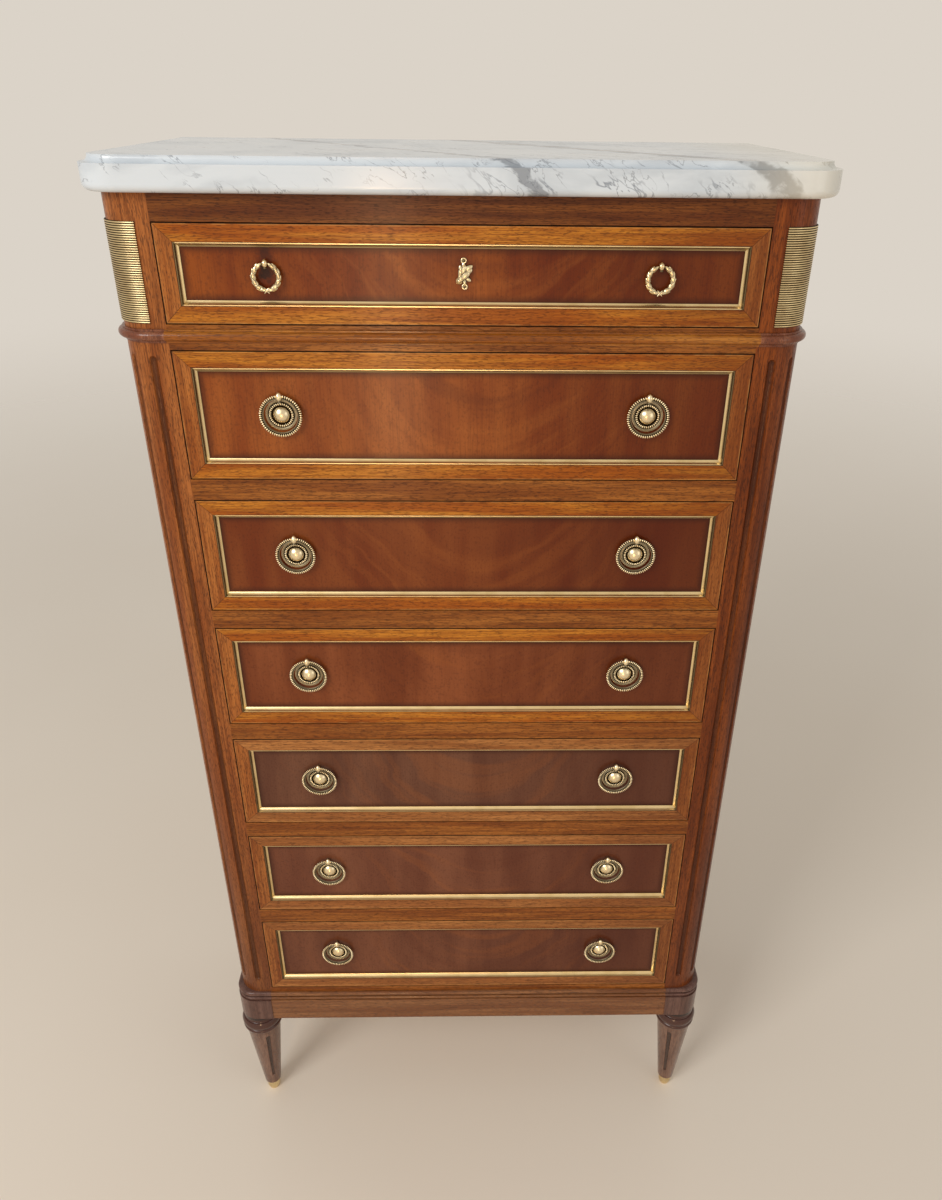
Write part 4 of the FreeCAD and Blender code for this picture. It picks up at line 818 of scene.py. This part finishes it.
def fixing(name):
    """The stem behind a knuckle and the square nut that holds it inside the drawer."""
    end = -(FORWARD + CORE_THICK + NUT_THICK)
    stem = lathe(name + "_stem", [(0.0, 0.0), (1.9, 0.0), (1.9, end), (1.5, end - 0.5),
                                  (0.0, end - 0.5)], 16)
    bpy.ops.object.select_all(action="DESELECT")
    nut_y = (FORWARD + CORE_THICK + NUT_THICK / 2) * MM
    bpy.ops.mesh.primitive_cube_add(size=NUT_SIZE * MM, location=(0, nut_y, 0))
    nut = bpy.context.object
    bpy.ops.object.transform_apply(location=True)
    bpy.ops.object.mode_set(mode="EDIT")
    bpy.ops.transform.resize(value=(1, NUT_THICK / NUT_SIZE, 1), center_override=(0, nut_y, 0))
    bpy.ops.mesh.bevel(offset=0.5 * MM, segments=2)
    bpy.ops.object.mode_set(mode="OBJECT")
    fixed = joined(name, [stem, nut])
    mark_patina(fixed, lambda co: 0.5)
    return fixed


knuckle_post = knuckle("ring_knuckle", 4.1, 11.0)
knuckle_stem = fixing("ring_fixing")
print("knuckle faces", len(knuckle_post.data.polygons))

# %% [markdown]
# The ring is spun by a little less than a full turn, which leaves the gap for its knuckle, and
# the two open ends are filled. Its outer part is a thin web that carries long beads, so each
# bead stands clear of the next. The pin that joins the ends passes through the knuckle.

# %% Beaded ring
RING_HALF_GAP = 3.3
gap_angle = math.asin(RING_HALF_GAP / RING_RISE)
BAND_EDGE, BAND_HALF = RING_INNER + 0.5, 1.25
band = [(BAND_EDGE, BAND_HALF)]
band += arc(band[0], (BAND_EDGE, -BAND_HALF), 0.32, 6)
band += [(19.3, -BAND_HALF), (19.8, -0.8), (22.0, -0.8), (22.0, 0.1), (20.0, 0.1), (19.6, 0.45),
         (19.2, BAND_HALF * 0.7), (18.8, BAND_HALF), band[0]]
hoop = lathe("ring_band", band, 96, start=gap_angle)


def band_patina(co):
    """Dark behind the beads and on the flat of the band, worn along its inner edge."""
    reach = math.hypot(co.x, co.z)
    return 1.0 if reach > 19.3 else 0.80 if reach > 18.0 else 0.60


def hinge_pin(name, radius, reach, rise):
    """The pin that joins the open ends of a ring and turns in its knuckle."""
    pin = lathe(name, [(0.0, -reach), (radius, -reach), (radius, reach), (0.0, reach)], 12,
                forward=False)
    pin.data.transform(moved(0, 0, rise) @ spun(math.pi / 2, "Y"))
    mark_patina(pin, lambda co: 0.4)
    return pin


mark_patina(hoop, band_patina)
edge = beads("ring_beads", 21.4, 54, 0.95, 0.6, 1.75, start=gap_angle + 0.03)
beaded_ring = joined("beaded_ring", [hoop, edge, hinge_pin("ring_pin", 1.2, 4.2, RING_RISE)])
print("ring faces", len(beaded_ring.data.polygons))

# %% [markdown]
# ## The laurel rings of the top drawer
# The two small rings are wreaths: leaves lie over one another along a round hoop and meet at a
# crossed ribbon at the bottom. A leaf starts as a cube: it is subdivided, its stations along the
# length are scaled one by one to a point, its middle line is raised to a rib, and a subdivision
# surface rounds it.

# %% A laurel leaf
STATIONS = ((-0.5, 0.35), (-0.25, 0.85), (0.0, 1.0), (0.25, 0.80), (0.5, 0.16))


def pick(piece, rule):
    """Selects the vertices whose place, in millimetres, passes a rule, ready for edit mode."""
    bpy.ops.object.mode_set(mode="EDIT")
    bpy.ops.mesh.select_all(action="DESELECT")
    bpy.ops.object.mode_set(mode="OBJECT")
    for vertex in piece.data.vertices:
        vertex.select = rule(vertex.co / MM)
    bpy.ops.object.mode_set(mode="EDIT")


def leaf(name, long, wide, thick, rib=0.35):
    """A pointed leaf with a rib down its middle, tip towards +X and face towards -Y."""
    bpy.ops.object.select_all(action="DESELECT")
    bpy.ops.mesh.primitive_cube_add(size=MM)
    piece = bpy.context.object
    piece.name = name
    bpy.ops.object.mode_set(mode="EDIT")
    bpy.ops.transform.resize(value=(long, thick, wide))
    bpy.ops.mesh.subdivide(number_cuts=3)
    for share, scale in STATIONS:
        pick(piece, lambda co: abs(co.x - share * long) < 0.01)
        bpy.ops.transform.resize(value=(1, scale ** 0.5, scale),
                                 center_override=(share * long * MM, 0, 0))
    pick(piece, lambda co: abs(co.z) < 0.01 and co.y < -0.01)
    bpy.ops.transform.translate(value=(0, -rib * MM, 0))
    bpy.ops.object.mode_set(mode="OBJECT")
    rounding = piece.modifiers.new("rounding", "SUBSURF")
    rounding.levels = rounding.render_levels = 1
    bpy.ops.object.modifier_apply(modifier="rounding")
    bpy.ops.object.shade_smooth()
    mark_patina(piece, lambda co: 1.1 * (abs(co.z) / (wide * 0.5)) ** 2 + 0.8 * (co.y > 0)
                + 0.6 * max(0.0, -co.x / long - 0.15))
    return piece


laurel = leaf("laurel_leaf", 7.8, 3.7, 2.3)
print("leaf faces", len(laurel.data.polygons))

# %% [markdown]
# The leaves grow from the ribbon at the bottom up both sides to the knuckle. Each station has one
# leaf on the crown of the hoop and two beside it, half a step on, which splay and lean outwards.

# %% Leaves round the hoop
WREATH_RADIUS = 12.5
WREATH_HALF_GAP = 2.9
wreath_gap = math.asin(WREATH_HALF_GAP / WREATH_RADIUS)
tube = [(WREATH_RADIUS, 1.6)] + arc((WREATH_RADIUS, 1.6), (WREATH_RADIUS, -1.6), 0.5, 8)
tube += arc((WREATH_RADIUS, -1.6), (WREATH_RADIUS, 1.6), 0.5, 8)
hoop = lathe("wreath_hoop", tube, 64, start=wreath_gap)
mark_patina(hoop, lambda co: 0.95)
parts = [hoop]
LEAF_ROWS = ((0.0, -1.3, 0.16, 0.0, 0.0), (0.95, -0.6, 0.24, -0.7, 0.5),
             (-0.95, -0.6, -0.24, 0.7, 0.5))
FIRST_LEAF, LAST_LEAF, LEAF_STEP, LEAF_STATIONS = 163, 22, 26.5, 6
for side in (-1, 1):
    turn_round = spun(math.pi, "Y") if side > 0 else Matrix()
    for step in range(LEAF_STATIONS):
        for out, front, splay, lean, shift in LEAF_ROWS:
            around = math.radians(FIRST_LEAF - (step + shift) * LEAF_STEP)
            if around < math.radians(LAST_LEAF):
                continue
            place = spun(side * around, "Y") @ moved(0, front, WREATH_RADIUS + out)
            lie = spun(side * splay, "Y") @ spun(lean, "X") @ turn_round
            parts.append(copied(laurel, "leaf", place @ lie))
ribbon = leaf("ribbon", 8.0, 1.9, 1.8)
for lean in (-0.85, 0.85):
    parts.append(copied(ribbon, "ribbon_end", moved(0, -1.9, -WREATH_RADIUS) @ spun(lean, "Y")))
parts.append(hinge_pin("wreath_pin", 1.0, 3.8, WREATH_RADIUS))
wreath_ring = joined("wreath_ring", parts)
for spare in (laurel, ribbon):
    bpy.data.objects.remove(spare)
wreath_knuckle = knuckle("wreath_knuckle", 3.5, 9.0)
wreath_stem = fixing("wreath_fixing")
print("wreath faces", len(wreath_ring.data.polygons))

# %% [markdown]
# ## Put every pull on its drawer
# The joiner's model already holds a plain ring and plate at each place. The box round each plain
# ring tells where its centre is. Each detailed piece stands for the plain one and rides on the
# same body, so a ring still swings in its knuckle when the drawer is out.

# %% Rings and their mounts
def ring_centre(number, side):
    """Centre of a ring in its own plane, from the plain ring's box."""
    low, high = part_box("drawer_%d_ring_%s" % (number, side))
    middle = (low + high) / 2
    return Vector((middle.x, middle.y, low.z + (high.x - low.x) / 2))


def finish_piece(piece, material, node_name, body):
    """Gives a cast piece its brass, and puts it in the place of a node on a body."""
    piece.data.materials.clear()
    piece.data.materials.append(material)
    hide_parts(node_name)
    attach(piece, body)


for number in DRAWERS:
    top_drawer = number == TOP_DRAWER
    metal = gilt_brass if top_drawer else cast_brass
    mount = []
    for side in ("left", "right"):
        centre = ring_centre(number, side)
        name = "drawer_%d_ring_%s" % (number, side)
        ring = copied(wreath_ring if top_drawer else beaded_ring, name + "_cast",
                      Matrix.Translation(centre))
        finish_piece(ring, metal, name, name)
        pivot_rise = (WREATH_RADIUS if top_drawer else RING_RISE) * MM
        at_pivot = Matrix.Translation(centre + Vector((0, 0, pivot_rise)))
        mount.append(copied(wreath_knuckle if top_drawer else knuckle_post, "post", at_pivot))
        mount.append(copied(wreath_stem if top_drawer else knuckle_stem, "stem", at_pivot))
        if not top_drawer:
            at_plate = Matrix.Translation(Vector((centre.x, PANEL_Y * MM, centre.z)))
            mount.append(copied(rosette, "plate", at_plate))
    mounts = joined("drawer_%d_pull_mounts_cast" % number, mount)
    finish_piece(mounts, metal, "drawer_%d_pull_mounts" % number, "drawer_%d" % number)
for master in (rosette, knuckle_post, knuckle_stem, beaded_ring, wreath_ring, wreath_knuckle,
               wreath_stem):
    bpy.data.objects.remove(master)
print("pulls placed")

# %% [markdown]
# ## The ornament in the middle of the top drawer
# A small casting is nailed through two eyelets: a thick spray of leaves that climbs from a round
# fruit at the lower left to a pointed leaf at the upper right. It is built from the same kind of
# leaf, shorter and fatter, laid over one another, and the fruit is turned.

# %% Leaf spray
EYELET_X, EYELET_Z = -0.4, 12.4

low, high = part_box("escutcheon")
middle = (low + high) / 2
spray_parts = []
for eye in (-1, 1):
    loop = lathe("eyelet", [(1.5, 0.2)] + arc((1.5, 0.2), (3.1, 0.2), 0.45, 5)
                 + [(3.1, -0.6), (1.5, -0.6), (1.5, 0.2)], 24)
    mark_patina(loop, lambda co: 0.0 if -co.y > 0.3 else 0.7)
    nail = lathe("nail", [(0.0, -0.6), (1.2, -0.6), (1.2, -0.1), (0.8, 0.3), (0.0, 0.4)], 16)
    mark_patina(nail, lambda co: 0.8)
    for piece in (loop, nail):
        piece.data.transform(moved(eye * EYELET_X, -0.8, eye * EYELET_Z))
        spray_parts.append(piece)
fruit = lathe("fruit", [(0.0, -0.8), (3.2, -0.8), (3.5, 0.2), (3.1, 1.4), (2.3, 2.0),
                        (1.8, 1.5), (1.3, 2.2), (0.0, 2.8)], 24)
mark_patina(fruit, lambda co: 0.95 if 1.6 < math.hypot(co.x, co.z) < 2.0 else 0.6 * (co.y > -0.5))
fruit.data.transform(moved(-5.2, -1.2, -6.8))
spray_parts.append(fruit)
fat = leaf("spray_leaf", 8.0, 4.6, 3.4, 0.5)
SPRAY = (
    (4.5, 5.6, 34, -1.6, 1.20), (5.0, 2.3, 42, -2.0, 1.00), (-3.2, 4.6, 112, -1.4, 1.00),
    (-3.8, 1.9, 76, -1.3, 1.00), (-0.3, 4.0, 62, -2.4, 1.15), (-0.6, 7.8, 92, -0.9, 0.85),
    (-2.3, -4.2, 40, -1.9, 1.15), (1.4, -1.2, 40, -2.7, 1.40), (3.8, -5.0, -37, -1.2, 0.90),
    (0.3, -8.2, -88, -1.0, 0.80), (-3.8, -1.4, 60, -1.1, 0.90),
)
for place_x, place_z, angle, front, size in SPRAY:
    spray_parts.append(copied(fat, "spray", moved(place_x, front, place_z)
                              @ spun(-math.radians(angle), "Y") @ Matrix.Scale(size, 4)))
bpy.data.objects.remove(fat)
ornament = joined("leaf_spray", spray_parts)
ornament.data.transform(Matrix.Translation(Vector((middle.x, high.y, middle.z))))
finish_piece(ornament, gilt_brass, "escutcheon", "drawer_1")
print("ornament faces", len(ornament.data.polygons))

# %% [markdown]
# ## Studio
# The chest stands on a pale floor that fades into an even pale surround, so that no horizon cuts
# the picture. The floor keeps the soft shadow of the legs.

# %% Floor
FLOOR_SIZE = 14000

bpy.ops.object.select_all(action="DESELECT")
bpy.ops.mesh.primitive_plane_add(size=FLOOR_SIZE * MM)
floor = bpy.context.object
floor.name = "studio_floor"
floor_paint = new_material("pale_floor_paint")
tree = floor_paint.node_tree
x, y, _ = axes(tree)
tint = stretched(tree, (900, 900, 900), 1.0)
paint = add(tree, "ShaderNodeBsdfPrincipled", {
    "Base Color": mix(tree, tint, linear("ece1d2"), linear("e6d9c8")), "Roughness": 0.7,
    "Specular IOR Level": 0.2})
clear = add(tree, "ShaderNodeBsdfTransparent")
fade = ease(tree, distance(tree, x, y), 500.0, 6800.0)
blend = add(tree, "ShaderNodeMixShader", {0: fade, 1: paint.outputs[0], 2: clear.outputs[0]})
add(tree, "ShaderNodeOutputMaterial", {"Surface": blend.outputs[0]})
floor.data.materials.append(floor_paint)
print("floor laid")

# %% [markdown]
# One large soft lamp stands high on the left, a weak one on the right, and a tall narrow warm one
# low in front, whose soft golden reflection lies on the upper drawers. The surround shows pale to
# the camera and in reflections, and lights the chest a little less.

# %% Lamps and surround
def softbox(name, place, target, width, height, watts, colour="ffffff"):
    """A rectangular soft lamp aimed at a point, in millimetres."""
    light = bpy.data.lights.new(name, "AREA")
    light.shape = "RECTANGLE"
    light.size = width * MM
    light.size_y = height * MM
    light.energy = watts
    light.color = linear(colour)[:3]
    lamp = bpy.data.objects.new(name, light)
    bpy.context.scene.collection.objects.link(lamp)
    lamp.location = Vector(place) * MM
    aim = Vector(target) * MM - lamp.location
    lamp.rotation_mode = "QUATERNION"
    lamp.rotation_quaternion = aim.to_track_quat("-Z", "Y")


softbox("high_left", (-1900, -2300, 2700), (0, 0, 800), 1300, 1300, 52)
softbox("right_fill", (2300, -1900, 1500), (0, 0, 700), 1200, 1600, 5)
softbox("low_front", (-310, -2650, 700), (-80, -170, 1150), 130, 1000, 9.5, "ffd2a0")

world = bpy.data.worlds.new("pale_surround")
bpy.context.scene.world = world
world.use_nodes = True
tree = world.node_tree
tree.nodes.clear()
rays = add(tree, "ShaderNodeLightPath")
seen = calc(tree, "MAXIMUM", rays.outputs["Is Camera Ray"],
            calc(tree, "MAXIMUM", rays.outputs["Is Glossy Ray"],
                 rays.outputs["Is Transmission Ray"]))
pale = add(tree, "ShaderNodeBackground", {"Color": linear("dbd3c8"), "Strength": 1.0})
lit = add(tree, "ShaderNodeBackground", {"Color": linear("f4f2ee"), "Strength": 0.60})
choose = add(tree, "ShaderNodeMixShader", {0: seen, 1: lit.outputs[0], 2: pale.outputs[0]})
add(tree, "ShaderNodeOutputWorld", {"Surface": choose.outputs[0]})
bpy.context.scene.view_settings.view_transform = "Standard"
print("lamps and surround set")
